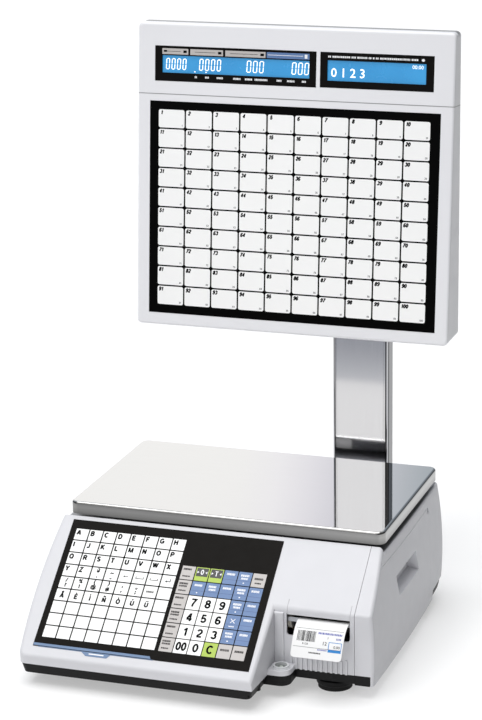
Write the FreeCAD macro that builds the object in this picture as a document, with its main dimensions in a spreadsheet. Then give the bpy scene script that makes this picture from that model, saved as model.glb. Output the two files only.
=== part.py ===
"""Retail price scale with a label printer and a pole-mounted speed-key head.

Row frame in millimetres: +Z up, front (the clerk's side) towards -Y, right-hand side +X.
The origin is on the counter, at the middle of the bounding box.
The driving sizes are in the spreadsheet "dims"; each sub-part is one labelled object of the document.
"""
import FreeCAD, Part
import Sketcher
import math
import os

V = FreeCAD.Vector
doc = FreeCAD.newDocument("retail_price_scale")

# ---------------------------------------------------------------- driving dimensions
dims = doc.addObject("Spreadsheet::Sheet", "dims")
TABLE = [
    # lower housing
    ("wall", 2.5), ("body_front", -234), ("body_rear", 176), ("print_front", -157),
    ("side_fl", 203), ("side_rl", 202), ("side_r_left", 1757), ("side_fr", 204), ("side_rr", 199.5), ("side_r_right", 3960),
    ("barrel_r", 481), ("barrel_z", 55), ("barrel_lx", 1542.5), ("twist", 3), ("barrel_ly", -33.26), ("barrel_rx", -3754.386), ("barrel_ry", -43.96),
    ("parting_z", 28), ("deck_z", 152), ("ridge_y", -85.5), ("base_z", 15.5),
    ("key_wall_x", 86), ("nose_x", 83),
    ("slope_deg", 39), ("slope_y", -90), ("slope_z", 155.5),
    # platter and weighing mechanism
    ("platter_w", 390), ("platter_d", 247), ("platter_y", -85), ("platter_top", 176.5),
    ("platter_skirt", 15), ("platter_t", 1.2), ("platter_r", 10),
    ("post_x", 120), ("post_dy", 70), ("post_r", 8), ("post_hole_r", 12),
    ("spider_z", 140), ("spider_t", 10), ("cell_z", 108), ("cell_h", 28), ("cell_w", 30), ("cell_len", 130),
    # keyboard
    ("kb_x0", -188), ("kb_x1", 76), ("kb_len", 172), ("film_t", 0.9), ("kb_membrane_t", 1.9), ("kb_plate_t", 1.2),
    # printer
    ("bay_x0", 96), ("slot_x0", 100), ("slot_x1", 175.5), ("slot_z0", 68), ("slot_z1", 94),
    ("label_w", 60), ("label_x0", 113), ("platen_y", -141), ("platen_z", 81.5), ("platen_r", 8),
    ("pitch_mod", 0.6), ("pinion_teeth", 15), ("platen_teeth", 30), ("rewind_teeth", 36),
    ("head_y", -104), ("head_z", 106), ("lever_y", -133), ("lever_z", 105.5),
    ("roll_y", -28), ("roll_z", 74), ("roll_r", 42), ("core_r", 20), ("spool_r", 19.6),
    # side door
    ("door_x0", 181), ("hinge_x", 193), ("hinge_y", 110), ("hinge_r", 14), ("door_z0", 15.9), ("door_z1", 140), ("seam", 0.5),
    # spirit level
    ("level_x", 97.5), ("level_y", -171), ("lug_r", 13), ("lug_top", 34),
    # feet
    ("foot_x", 149), ("foot_y0", -127), ("foot_y1", 140), ("foot_r", 22), ("stud_r", 4),
    # pole
    ("pole_x", 84), ("pole_w", 73), ("pole_y", 202), ("pole_d", 25), ("pole_t", 1.6), ("pole_z0", 20.8), ("pole_z1", 470),
    # head
    ("head_hw", 203.5), ("head_z0", 329), ("head_z1", 709), ("head_back", 234), ("head_split", 216),
    ("face_y", 173), ("face_z", 347.5), ("face_deg", 5), ("ov_hw", 187), ("ov_h", 266), ("ov_foot", 2.6), ("head_seam_v", 275),
]
for row, (alias, value) in enumerate(TABLE, start=1):
    dims.set("A%d" % row, alias)
    dims.set("B%d" % row, str(value))
    dims.setAlias("B%d" % row, alias)
doc.recompute()
D = dict(TABLE)


def num(e):
    """The value of a number or of a spreadsheet expression."""
    if isinstance(e, (int, float)):
        return float(e)
    v = dims.evalExpression(e)
    return float(getattr(v, "Value", v))


def bind(obj, prop, e):
    if isinstance(e, str):
        obj.setExpression(prop, e)
    else:
        obj.setExpression(prop, repr(float(e)))


# ---------------------------------------------------------------- modelling helpers
def place(obj, at=(0, 0, 0), turn=None):
    """Binds a placement: at = three sizes, turn = (axis vector, angle)."""
    axis, angle = turn if turn else ((0, 0, 1), 0)
    obj.Placement = FreeCAD.Placement(V(*[num(c) for c in at]), FreeCAD.Rotation(V(*axis), num(angle)))
    for k, c in zip("xyz", at):
        bind(obj, "Placement.Base." + k, c)
    if turn and isinstance(angle, str):
        bind(obj, "Placement.Rotation.Angle", angle)
    return obj


def box(name, x0, x1, y0, y1, z0, z1, turn=None, at=None):
    """A block between two corners. With turn, x0..z1 are local and at is the local origin."""
    b = doc.addObject("Part::Box", name)
    for prop, lo, hi in (("Length", x0, x1), ("Width", y0, y1), ("Height", z0, z1)):
        bind(b, prop, "(%s) - (%s)" % (hi, lo))
    if turn is None:
        return place(b, (x0, y0, z0))
    rot = FreeCAD.Rotation(V(*turn[0]), num(turn[1]))
    c, s = "cos(%s)" % turn[1], "sin(%s)" % turn[1]
    # only turns about X are used: the corner (x0, y0, z0) goes to at + R * corner
    return place(b, ("(%s) + (%s)" % (at[0], x0), "(%s) + (%s) * %s - (%s) * %s" % (at[1], y0, c, z0, s),
                     "(%s) + (%s) * %s + (%s) * %s" % (at[2], y0, s, z0, c)), turn)


SLOPE = dict(turn=((1, 0, 0), "dims.slope_deg * 1 deg"), at=(0, "dims.slope_y", "dims.slope_z"))
FACE = dict(turn=((1, 0, 0), "-dims.face_deg * 1 deg"), at=(0, "dims.face_y", "dims.face_z"))


def cyl(name, r, x, y, z, length, axis="Z"):
    c = doc.addObject("Part::Cylinder", name)
    bind(c, "Radius", r)
    bind(c, "Height", length)
    turn = {"Z": None, "X": ((0, 1, 0), 90), "Y": ((1, 0, 0), -90)}[axis]
    return place(c, (x, y, z), turn)


def cone(name, r0, r1, x, y, z, length):
    c = doc.addObject("Part::Cone", name)
    bind(c, "Radius1", r0)
    bind(c, "Radius2", r1)
    bind(c, "Height", length)
    return place(c, (x, y, z))


def fuse(name, *parts):
    f = doc.addObject("Part::MultiFuse", name)
    f.Shapes = list(parts)
    f.Refine = True
    return f


def cut(name, base, *tools):
    c = doc.addObject("Part::Cut", name)
    c.Base = base
    c.Tool = tools[0] if len(tools) == 1 else fuse(name + "_tools", *tools)
    c.Refine = True
    return c


def common(name, a, b):
    c = doc.addObject("Part::Common", name)
    c.Base, c.Tool = a, b
    c.Refine = True
    return c


def group(name, *parts):
    g = doc.addObject("Part::Compound", name)
    g.Links = list(parts)
    return g


def edges(obj, test):
    doc.recompute()
    return [i for i, e in enumerate(obj.Shape.Edges, 1) if test(e)]


def fillet(name, base, radius, test, kind="Part::Fillet"):
    ids = edges(base, test)
    if not ids:
        raise ValueError("no edge found for " + name)
    f = doc.addObject(kind, name)
    f.Base = base
    f.Edges = [(i, num(radius), num(radius)) for i in ids]
    return f


def mid(e):
    return e.valueAt((e.FirstParameter + e.LastParameter) / 2)


def along(e, axis):
    """True if the edge is straight and runs along a row axis."""
    a, b = e.Vertexes[0].Point, e.Vertexes[-1].Point
    d = b.sub(a)
    return d.Length > 1e-6 and e.Curve.TypeId == "Part::GeomLine" and abs(d.normalize().dot(V(*axis))) > 0.999


def sketch_loops(body, plane, loops, name, offset=0):
    """A fully constrained sketch. A loop is a list of points (x, y); a point (x, y, r) starts an arc of radius r to
    the next point, bulging to the right of the way of travel for r > 0. A loop ("circle", x, y, r) is a circle."""
    sk = body.newObject("Sketcher::SketchObject", name)
    support = [o for o in body.Origin.OriginFeatures if o.Role == plane][0]
    sk.AttachmentSupport = [(support, "")]
    sk.MapMode = "FlatFace"
    if offset != 0:
        bind(sk, "AttachmentOffset.Base.z", offset)
    for li, loop in enumerate(loops):
        if loop[0] == "circle":
            _, cx, cy, r = loop
            g = sk.addGeometry(Part.Circle(V(num(cx), num(cy), 0), V(0, 0, 1), num(r)), False)
            for tag, kind, e in (("x", "DistanceX", cx), ("y", "DistanceY", cy)):
                c = sk.addConstraint(Sketcher.Constraint(kind, -1, 1, g, 3, num(e)))
                sk.renameConstraint(c, "l%dc%s" % (li, tag))
                if isinstance(e, str):
                    sk.setExpression("Constraints.l%dc%s" % (li, tag), e)
            c = sk.addConstraint(Sketcher.Constraint("Radius", g, num(r)))
            sk.renameConstraint(c, "l%dr" % li)
            if isinstance(r, str):
                sk.setExpression("Constraints.l%dr" % li, r)
            continue
        n = len(loop)
        ends = []
        for i in range(n):
            p, q = loop[i], loop[(i + 1) % n]
            a, b = V(num(p[0]), num(p[1]), 0), V(num(q[0]), num(q[1]), 0)
            if len(p) == 2:
                g = sk.addGeometry(Part.LineSegment(a, b), False)
                ends.append((g, 1, 2, None))
            else:
                r = abs(num(p[2]))
                ccw = num(p[2]) > 0
                m = (a + b) * 0.5
                d = b - a
                left = V(-d.y, d.x, 0).normalize()
                rise = math.sqrt(max(r * r - d.Length ** 2 / 4, 0))
                centre = m + left * (rise if ccw else -rise)
                s, e = (a, b) if ccw else (b, a)
                a0 = math.atan2(s.y - centre.y, s.x - centre.x)
                a1 = math.atan2(e.y - centre.y, e.x - centre.x)
                if a1 < a0:
                    a1 += 2 * math.pi
                g = sk.addGeometry(Part.ArcOfCircle(Part.Circle(centre, V(0, 0, 1), r), a0, a1), False)
                ends.append((g, 1, 2, p[2]) if ccw else (g, 2, 1, p[2]))
        for i in range(n):
            g, _, e1, _ = ends[i]
            h, s1, _, _ = ends[(i + 1) % n]
            sk.addConstraint(Sketcher.Constraint("Coincident", g, e1, h, s1))
        for i in range(n):
            g, s0, _, r = ends[i]
            for tag, kind, e in (("x", "DistanceX", loop[i][0]), ("y", "DistanceY", loop[i][1])):
                c = sk.addConstraint(Sketcher.Constraint(kind, -1, 1, g, s0, num(e)))
                sk.renameConstraint(c, "l%dp%d%s" % (li, i, tag))
                if isinstance(e, str):
                    sk.setExpression("Constraints.l%dp%d%s" % (li, i, tag), e)
            if r is not None:
                c = sk.addConstraint(Sketcher.Constraint("Radius", g, abs(num(r))))
                sk.renameConstraint(c, "l%dr%d" % (li, i))
    return sk


def body_pad(name, plane, loops, length, at=(0, 0, 0), taper=None, both=False, turn=None):
    """A PartDesign body with one padded sketch."""
    b = doc.addObject("PartDesign::Body", name)
    sk = sketch_loops(b, plane, loops, name + "_sketch")
    pad = b.newObject("PartDesign::Pad", name + "_pad")
    pad.Profile = sk
    bind(pad, "Length", length)
    pad.Midplane = both
    if taper is not None:
        bind(pad, "TaperAngle", taper)
    sk.Visibility = False
    place(b, at, turn)
    doc.recompute()
    return b


def body_pocket(b, plane, loops, length, offset, name, reverse=False, taper=None):
    sk = sketch_loops(b, plane, loops, name + "_sketch", offset)
    pk = b.newObject("PartDesign::Pocket", name)
    pk.Profile = sk
    bind(pk, "Length", length)
    pk.Reversed = reverse
    if taper is not None:
        bind(pk, "TaperAngle", taper)
    before = b.Shape.Volume
    doc.recompute()
    if not b.Shape.Volume < before - 1e-3:
        raise ValueError("pocket %s cuts nothing" % name)
    return pk


def body_fillet(b, radius, test, name, kind="PartDesign::Fillet"):
    doc.recompute()
    tip = b.Tip
    ids = ["Edge%d" % i for i, e in enumerate(tip.Shape.Edges, 1) if test(e)]
    if not ids:
        raise ValueError("no edge found for " + name)
    f = b.newObject(kind, name)
    f.Base = (tip, ids)
    if kind == "PartDesign::Fillet":
        bind(f, "Radius", radius)
    else:
        bind(f, "Size", radius)
    doc.recompute()
    return f


def rect(x0, x1, y0, y1):
    return [(x0, y0), (x1, y0), (x1, y1), (x0, y1)]


def round_rect(x0, x1, y0, y1, r):
    """A rectangle with rounded corners, counter-clockwise."""
    p = lambda a, s: "(%s) %s (%s)" % (a, s, r)
    return [(p(x0, "+"), y0), (p(x1, "-"), y0, r), (x1, p(y0, "+")), (x1, p(y1, "-"), r), (p(x1, "-"), y1),
            (p(x0, "+"), y1, r), (x0, p(y1, "-")), (x0, p(y0, "+"), r)]


NODES = []


def node(label, obj):
    """Marks an object as a finished sub-part; its label names the file."""
    obj.Label = label
    NODES.append((label, obj))
    return obj


# ================================================================ lower housing
def plan(o, front="dims.body_front", rear="dims.body_rear", printer="dims.print_front"):
    """Plan outline of the housing, offset inwards by o."""
    return [
        ("-dims.side_fl + %s" % o, "%s + %s" % (front, o)),
        ("dims.nose_x - %s" % o, "%s + %s" % (front, o)),
        ("dims.key_wall_x - %s" % o, "%s + %s" % (printer, o)),
        ("dims.side_fr - %s" % o, "%s + %s" % (printer, o), "dims.side_r_right"),
        ("dims.side_rr - %s" % o, "%s - %s" % (rear, o)),
        ("-dims.side_rl + %s" % o, "%s - %s" % (rear, o), "dims.side_r_left"),
    ]


def block_plan(o):
    """Plan of the housing block before its bulging flanks are cut: walls front and rear, offset inwards by o."""
    return [
        (-240, "dims.body_front + %s" % o),
        ("dims.nose_x - %s" % o, "dims.body_front + %s" % o),
        ("dims.key_wall_x - %s" % o, "dims.print_front + %s" % o),
        (240, "dims.print_front + %s" % o),
        (240, "dims.body_rear - %s" % o),
        (-240, "dims.body_rear - %s" % o),
    ]


def barrel(name, side, o):
    """Ring that bounds one bulging flank, curved along its length and its height, offset inwards by o."""
    t = doc.addObject("Part::Torus", name)
    bind(t, "Radius1", "dims.side_r_%s - dims.barrel_r" % side)
    bind(t, "Radius2", "dims.barrel_r - %s" % o)
    k = "l" if side == "left" else "r"
    # the right flank's widest line climbs towards the rear
    return place(t, ("dims.barrel_%sx" % k, "dims.barrel_%sy" % k, "dims.barrel_z"), ((1, 0, 0), "dims.twist") if k == "r" else None)


def side_profile(o, ridge=False):
    """Side view of the housing: nose, sloping keyboard face up to a ridge, sunk deck."""
    t = "tan(dims.slope_deg * 1 deg)"
    drop = "%s / cos(dims.slope_deg * 1 deg)" % o
    top = [("dims.ridge_y", "dims.slope_z + (dims.ridge_y - dims.slope_y) * %s" % t), ("dims.ridge_y", "dims.deck_z")] if ridge else [
        ("dims.slope_y + (dims.deck_z - %s - dims.slope_z + %s) / %s" % (o, drop, t), "dims.deck_z - %s" % o)]
    return [(-250, 0), (-250, "dims.slope_z + (-250 - dims.slope_y) * %s - %s" % (t, drop))] + top + [
        (190, "dims.deck_z - %s" % o), (190, 0)]


SIN, COS = math.sin(math.radians(D["slope_deg"])), math.cos(math.radians(D["slope_deg"]))


def on_slope(p, tol=0.6):
    return abs((p.z - D["slope_z"]) * COS - (p.y - D["slope_y"]) * SIN) < tol


def upright(e):
    return along(e, (0, 0, 1)) and e.Length > 5


def outer_corner(e):
    m = mid(e)
    return upright(e) and (abs(m.x) > 150 or m.y < D["body_front"] + 5)


plan_out = body_pad("housing_plan", "XY_Plane", [block_plan(0)], "dims.deck_z + 14 - dims.base_z", at=(0, 0, "dims.base_z"))
bulged = common("housing_bulged", common("housing_bulged_left", plan_out, barrel("flank_left", "left", 0)), barrel("flank_right", "right", 0))
doc.recompute()
corners = [(i, mid(e)) for i, e in enumerate(bulged.Shape.Edges, 1) if e.BoundBox.ZLength > 100 and abs(mid(e).x) > 150]
rounded = doc.addObject("Part::Fillet", "housing_corners")
rounded.Base = bulged
rounded.Edges = [(i, 9.0, 9.0) if m.x < 0 else (i, 5.0, 5.0) if m.y < 0 else (i, 4.0, 4.0) for i, m in corners]
side_out = body_pad("housing_side", "YZ_Plane", [side_profile(0, True)], 500, both=True)
shell_out = common("housing_block", rounded, side_out)
doc.recompute()
bend = [i for i, e in enumerate(shell_out.Shape.Edges, 1) if along(e, (1, 0, 0)) and abs(mid(e).y - D["print_front"]) < 0.1 and mid(e).z > 60]
nose = [i for i, e in enumerate(shell_out.Shape.Edges, 1) if along(e, (1, 0, 0)) and abs(mid(e).y - D["body_front"]) < 0.1 and mid(e).z > 30]
rear = [i for i, e in enumerate(shell_out.Shape.Edges, 1) if abs(mid(e).z - D["deck_z"]) < 0.01 and mid(e).y > -70]
flank = [i for i, e in enumerate(shell_out.Shape.Edges, 1) if on_slope(mid(e)) and i not in bend + nose and not along(e, (1, 0, 0))]
shell_f = doc.addObject("Part::Fillet", "housing_edges")
shell_f.Base = shell_out
shell_f.Edges = [(i, 9.0, 9.0) for i in bend] + [(i, 5.0, 5.0) for i in nose] + [(i, 3.0, 3.0) for i in rear] + [(i, 4.5, 4.5) for i in flank]
doc.recompute()

plan_in = body_pad("hollow_plan", "XY_Plane", [block_plan("dims.wall")], "dims.deck_z", at=(0, 0, 5))
side_in = body_pad("hollow_side", "YZ_Plane", [side_profile("dims.wall")], 500, both=True)
shell_in = common("housing_hollow", common("hollow_bulged", common("hollow_bulged_left", plan_in, barrel("flank_left_in", "left", "dims.wall")),
                                           barrel("flank_right_in", "right", "dims.wall")), side_in)
shell = cut("housing_shell", shell_f, shell_in)

# pan under the key overlay, lug of the spirit level, screw bosses, pedestal of the finger pocket
pan = box("key_pan", "dims.kb_x0 - 4", "dims.kb_x1 + 4", "-dims.kb_len - 4", 4, -5, -1, **SLOPE)
lug = fuse("level_lug",
           cyl("lug_round", "dims.lug_r", "dims.level_x", "dims.level_y", "dims.parting_z", "dims.lug_top - dims.parting_z"),
           box("lug_left", 82, "dims.level_x", "dims.level_y - dims.lug_r", "dims.print_front + dims.wall", "dims.parting_z", "dims.lug_top"),
           box("lug_right", "dims.level_x", "dims.level_x + dims.lug_r", "dims.level_y", "dims.print_front + dims.wall", "dims.parting_z", "dims.lug_top"))
BOSSES = [(-185, -150), (-183, 158), (77.5, -200), (183, 158)]
bosses = [cyl("boss_%d" % k, 4.5, x, y, "dims.parting_z", 129) for k, (x, y) in enumerate(BOSSES)]
boss_in = common("bosses", fuse("boss_columns", *bosses), shell_f)
ribs = [box("rib_%d" % k, 104 + 6 * k, 106.6 + 6 * k, -158.6, -156, "dims.parting_z", 44 + 1.2 * (k % 2)) for k in range(12)]
column = box("slot_column", 85.5, 97, -159.4, -155, "dims.parting_z", 96)
doc.recompute()
column_r = fillet("slot_column_round", column, 1.6, lambda e: mid(e).y < -159 and (upright(e) or mid(e).z > 95))

# the door's rear edge follows rings round its hinge pin, so it swings clear of the flank behind it
def rings(name, g):
    return fuse(name, cyl(name + "_low", "dims.hinge_r - %s" % g, "dims.hinge_x", "dims.hinge_y", 0, 85),
                cone(name + "_mid", "dims.hinge_r - %s" % g, 9.2 - g, "dims.hinge_x", "dims.hinge_y", 85, 35),
                cone(name + "_top", 9.2 - g, 4.6 - g, "dims.hinge_x", "dims.hinge_y", 120, 22))


strip_zone = box("door_strip", "dims.door_x0", 240, -60, 10, -3.2, 8, **SLOPE)
door_zone = fuse("door_zone",
                 cut("door_zone_side", box("door_box", "dims.door_x0", 240, -260, "dims.hinge_y", "dims.door_z0", "dims.door_z1"), rings("door_rings", 0)),
                 common("door_zone_tail", cyl("door_tail_ring", "dims.hinge_r", "dims.hinge_x", "dims.hinge_y", "dims.door_z0", 27.6 - D["door_z0"]),
                        box("door_tail_box", "dims.hinge_x", 240, "dims.hinge_y - 20", "dims.hinge_y + 20", 0, 60)),
                 common("door_zone_strip", strip_zone, box("door_strip_top", 0, 300, -200, 0, "dims.door_z1 - 3", 200)))
knuckle_gap = fuse("knuckle_gap", cyl("knuckle_gap_round", 2.9, "dims.hinge_x", "dims.hinge_y", 133.6, "dims.door_z1 + dims.seam - 133.6"),
                   box("knuckle_gap_box", "dims.hinge_x - 2.9", 240, "dims.hinge_y - 8", "dims.hinge_y", 133.6, "dims.door_z1 + dims.seam"),
                   box("knuckle_gap_rear", "dims.hinge_x", 240, "dims.hinge_y - 1", "dims.hinge_y + 2.5", 133.6, "dims.door_z1 + dims.seam"))
door_cut = fuse("door_cut",
                cut("door_cut_side", box("door_cut_box", "dims.door_x0 - dims.seam", 240, -260, "dims.hinge_y", 0, "dims.door_z1 + dims.seam"), rings("door_cut_rings", 0.4)),
                box("door_cut_strip", "dims.door_x0 - dims.seam", 240, -60, 10, "-3.2 - dims.seam", 8, **SLOPE), knuckle_gap)
slot = box("slot", "dims.slot_x0", "dims.slot_x1", -170, -145, "dims.slot_z0", "dims.slot_z1 + 1")
slot_r = fillet("slot_round", slot, 4, lambda e: along(e, (0, 1, 0)) and mid(e).z < D["slot_z0"] + 1)
hood_env = box("hood_envelope", "dims.slot_x0 + 1", "dims.slot_x1", -175, -144, "dims.slot_z1", 109)
hood_cut = box("hood_cut", "dims.slot_x0 + 0.7", "dims.slot_x1 + 0.3", -175, -143.7, "dims.slot_z1", 109)
film_recess = box("key_recess", "dims.kb_x0 - 0.3", "dims.kb_x1 + 0.3", "-dims.kb_len - 0.3", 0.3, "-dims.kb_membrane_t", 8, **SLOPE)
key_window = box("key_window", "dims.kb_x0 + 7", "dims.kb_x1 - 7", "-dims.kb_len + 7", -7, -8, 8, **SLOPE)
posts = [cyl("post_hole_%d%d" % (i, j), "dims.post_hole_r", "%d * dims.post_x" % i, "dims.platter_y + dims.platter_d / 2 + %d * dims.post_dy" % j,
             "dims.deck_z - 10", 20) for i in (-1, 1) for j in (-1, 1)]
screw_holes = [cyl("boss_hole_%d" % k, 1.5, x, y, "dims.parting_z - 1", 15) for k, (x, y) in enumerate(BOSSES)]
level_hole = cyl("level_hole", 9.3, "dims.level_x", "dims.level_y", "dims.parting_z + 2", 10)
pin_hole = cyl("door_pin_hole", 1.55, "dims.hinge_x", "dims.hinge_y", "dims.door_z1", 7)
inlet_hole = box("inlet_hole", -174.3, -145.7, 170, 180, 46.7, 67.3)
switch_hole = box("switch_hole", -132.3, -111.7, 170, 180, 44.7, 69.3)
ports_hole = box("ports_hole", -92.3, -29.7, 170, 180, 43.7, 64.3)
# a ledge above the door carries the upper door pin
pin_ledge = common("pin_ledge", box("pin_ledge_box", 184, 210, "dims.hinge_y - 8", "dims.hinge_y + 8", "dims.door_z1 + dims.seam", 146), shell_f)
upper = cut("upper_housing_cut", fuse("upper_housing_sum", shell, common("key_pan_in", pan, shell_f), lug, boss_in, column_r, *ribs),
            box("below_parting", -260, 260, -260, 260, -5, "dims.parting_z"), door_cut, slot_r, hood_cut, film_recess, key_window,
            level_hole, inlet_hole, switch_hole, ports_hole, *(posts + screw_holes))
seam_end = cyl("seam_end", 1.1, "dims.hinge_x + 1.2", "dims.hinge_y - 3.2", "dims.door_z1 + dims.seam / 2", 10, "X")
upper2 = cut("upper_housing_body", fuse("upper_housing_ledge", upper, pin_ledge), pin_hole, seam_end)
node("upper_housing", upper2)

hood_skin = common("slot_hood_skin", cut("slot_hood_shell", shell_f, shell_in), hood_env)
hood_tabs = [box("hood_tab_%d" % k, x, x + 5.5, "dims.print_front + dims.wall", "dims.print_front + dims.wall + 3", 94.5, 99.8) for k, x in enumerate((97, 174))]
node("slot_hood", fuse("slot_hood_body", hood_skin, *hood_tabs))

# side door: wall of the same block, finger pocket, knuckle and arm with a pin at either end of the hinge
door_wall = common("door_wall", shell, door_zone)
pocket_block = common("pocket_block", box("pocket_block_box", 188, 230, -60, 41, 81, 119), shell_f)
knuckle = fuse("door_knuckle", cyl("door_knuckle_round", 2.5, "dims.hinge_x", "dims.hinge_y", 134, "dims.door_z1 - 134"),
               common("door_knuckle_web", shell_f, box("door_knuckle_box", "dims.hinge_x - 2.5", "dims.hinge_x + 2.1", "dims.hinge_y - 8", "dims.hinge_y", 134, "dims.door_z1")))
arm = fuse("door_arm", cyl("door_arm_round", 3.5, "dims.hinge_x", "dims.hinge_y", 22.2, 5.2),
           box("door_arm_long", "dims.hinge_x - 3.5", "dims.hinge_x + 3.5", "dims.hinge_y - 22", "dims.hinge_y", 22.2, 27.4),
           common("door_arm_foot", shell_f, box("door_arm_foot_box", "dims.hinge_x - 3.5", 240, "dims.hinge_y - 22", "dims.hinge_y - 15.5", 22.2, 27.4)))
pin_top = cyl("door_pin_top", 1.5, "dims.hinge_x", "dims.hinge_y", "dims.door_z1 - 1", 6)
pin_low = cyl("door_pin_low", 1.5, "dims.hinge_x", "dims.hinge_y", 17, 6)
pocket = body_pad("finger_pocket", "YZ_Plane", [[(-46, 90), (37, 89.5), (30.5, 110.5), (-51.5, 110.5)]], 40, at=("dims.side_fr - 13.5", 0, 0), taper=14)
door_floor = common("door_floor", box("door_floor_box", "dims.door_x0 + 0.3", 230, "dims.print_front + 3", "dims.hinge_y - 12", "dims.door_z0", "dims.door_z0 + 2.3"), shell_f)
door_sum = fuse("side_door_sum", door_wall, door_floor, pocket_block, knuckle, arm, pin_top)
door_body = cut("side_door_cut", door_sum, pocket,
                box("door_sill_seat", "dims.door_x0 - 1", "dims.side_fr - 4.3", -200, "dims.print_front + dims.wall + 0.1", 0, "dims.parting_z + 0.2"))
node("side_door", fuse("side_door_body", door_body, pin_low))
node("door_sill", box("door_sill_box", "dims.door_x0", "dims.side_fr - 5.2", "dims.print_front + 0.4", "dims.print_front + dims.wall", "dims.door_z0", "dims.parting_z + 0.2"))

# ================================================================ base tray
base_block = body_pad("base_block", "XY_Plane", [plan(4.5)], "dims.parting_z - dims.base_z", at=(0, 0, "dims.base_z"), taper=13.5)
doc.recompute()
base_round = doc.addObject("Part::Fillet", "base_corners")
base_round.Base = base_block
base_round.Edges = [(i, 7.0, 7.0) for i, e in enumerate(base_block.Shape.Edges, 1)
                    if e.BoundBox.ZLength > 10 and (abs(mid(e).x) > 150 or mid(e).y < D["body_front"] + 12)]
base_trim = common("base_trimmed", base_round, barrel("flank_right_tray", "right", 1.5))
base_lug = fuse("base_lug",
                cyl("base_lug_round", "dims.lug_r - 1", "dims.level_x", "dims.level_y", "dims.base_z", "dims.parting_z - dims.base_z"),
                box("base_lug_left", 80, "dims.level_x", "dims.level_y - dims.lug_r + 1", -152, "dims.base_z", "dims.parting_z"),
                box("base_lug_right", "dims.level_x", "dims.level_x + dims.lug_r - 1", "dims.level_y", -152, "dims.base_z", "dims.parting_z"))
base_hollow = body_pad("base_hollow", "XY_Plane", [plan(5)], 30, at=(0, 0, "dims.base_z + 2.5"))
FEET = {"front_left": (-1, "y0"), "front_right": (1, "y0"), "rear_left": (-1, "y1"), "rear_right": (1, "y1")}
foot_boss = [cyl("foot_boss_" + k, 9, "%d * dims.foot_x" % a, "dims.foot_" + b, "dims.base_z", 22) for k, (a, b) in FEET.items()]
foot_hole = [cyl("foot_hole_" + k, "dims.stud_r + 0.05", "%d * dims.foot_x" % a, "dims.foot_" + b, "dims.base_z - 1", 30) for k, (a, b) in FEET.items()]
screw_seat = [cyl("screw_seat_%d" % k, 4.5, x, y, "dims.base_z", "dims.parting_z - dims.base_z") for k, (x, y) in enumerate(BOSSES)]
screw_pass = [cyl("screw_pass_%d" % k, 1.8, x, y, "dims.base_z - 1", 30) for k, (x, y) in enumerate(BOSSES)]
screw_bore = [cyl("screw_bore_%d" % k, 3.4, x, y, "dims.base_z - 1", 6) for k, (x, y) in enumerate(BOSSES)]
cell_tower = box("cell_tower", -64, -30, "dims.platter_y + dims.platter_d / 2 - 18", "dims.platter_y + dims.platter_d / 2 + 18", "dims.base_z + 2", "dims.cell_z - 4")
pin_ear = fuse("pin_ear", box("pin_ear_bar", "dims.door_x0 - 3", "dims.hinge_x", "dims.hinge_y - 4", "dims.hinge_y + 4", "dims.base_z", 21.7),
               cyl("pin_ear_round", 4, "dims.hinge_x", "dims.hinge_y", "dims.base_z", "21.7 - dims.base_z"))
base = cut("base_tray_body",
           fuse("base_sum", cut("base_shell", fuse("base_outer", base_trim, base_lug), base_hollow), cell_tower, *(foot_boss + screw_seat)),
           fuse("base_door_side", box("base_door_side_box", "dims.door_x0 - dims.seam", 240, -260, "dims.hinge_y", 0, 60),
                cyl("base_door_side_ring", "dims.hinge_r + 0.4", "dims.hinge_x", "dims.hinge_y", 0, 60)),
           box("bracket_notch", 43.7, 124.3, 165, 180, "dims.base_z + 2.5", "dims.parting_z - 4"),
           *(foot_hole + screw_pass + screw_bore))
base2 = cut("base_tray_pinned", fuse("base_tray_ear", base, pin_ear), cyl("base_pin_hole", 1.55, "dims.hinge_x", "dims.hinge_y", "dims.base_z - 1", 8))
node("base_tray", base2)

# ================================================================ screws
node("housing_screws", group("housing_screws_set", *[
    fuse("housing_screw_%d" % k, cyl("housing_screw_head_%d" % k, 3.1, x, y, "dims.base_z + 1", 3.8),
         cyl("housing_screw_shank_%d" % k, 1.4, x, y, "dims.base_z + 4", 21)) for k, (x, y) in enumerate(BOSSES)]))

# ================================================================ keyboard
node("key_membrane", fuse("key_membrane_body",
                          box("key_membrane_film", "dims.kb_x0", "dims.kb_x1", "-dims.kb_len", 0, "-dims.kb_membrane_t", -0.02, **SLOPE),
                          box("key_membrane_plate", "dims.kb_x0 + 7.4", "dims.kb_x1 - 7.4", "-dims.kb_len + 7.4", -7.4, "-dims.kb_membrane_t - dims.kb_plate_t", "-dims.kb_membrane_t", **SLOPE)))
overlay = box("overlay_sheet", "dims.kb_x0", "dims.kb_x1", "-dims.kb_len", 0, 0, "dims.film_t", **SLOPE)
channel = box("overlay_channel", "dims.kb_x0 + 4.5", -37.5, -200, -6, -1, 0.5, **SLOPE)
node("key_overlay", cut("key_overlay_body", overlay, channel))
sheet_tab = body_pad("key_sheet_tab", "XY_Plane", [[(-131, -170), (-121, -177.5), (-95, -177.5), (-89, -170)]], 0.36)
place(sheet_tab, (0, "dims.slope_y - 0.06 * sin(dims.slope_deg * 1 deg)", "dims.slope_z + 0.06 * cos(dims.slope_deg * 1 deg)"), ((1, 0, 0), "dims.slope_deg * 1 deg"))
node("key_sheet", fuse("key_sheet_body", box("key_sheet_page", -181.4, -39.4, -172.8, -8, 0.06, 0.42, **SLOPE), sheet_tab))

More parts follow.
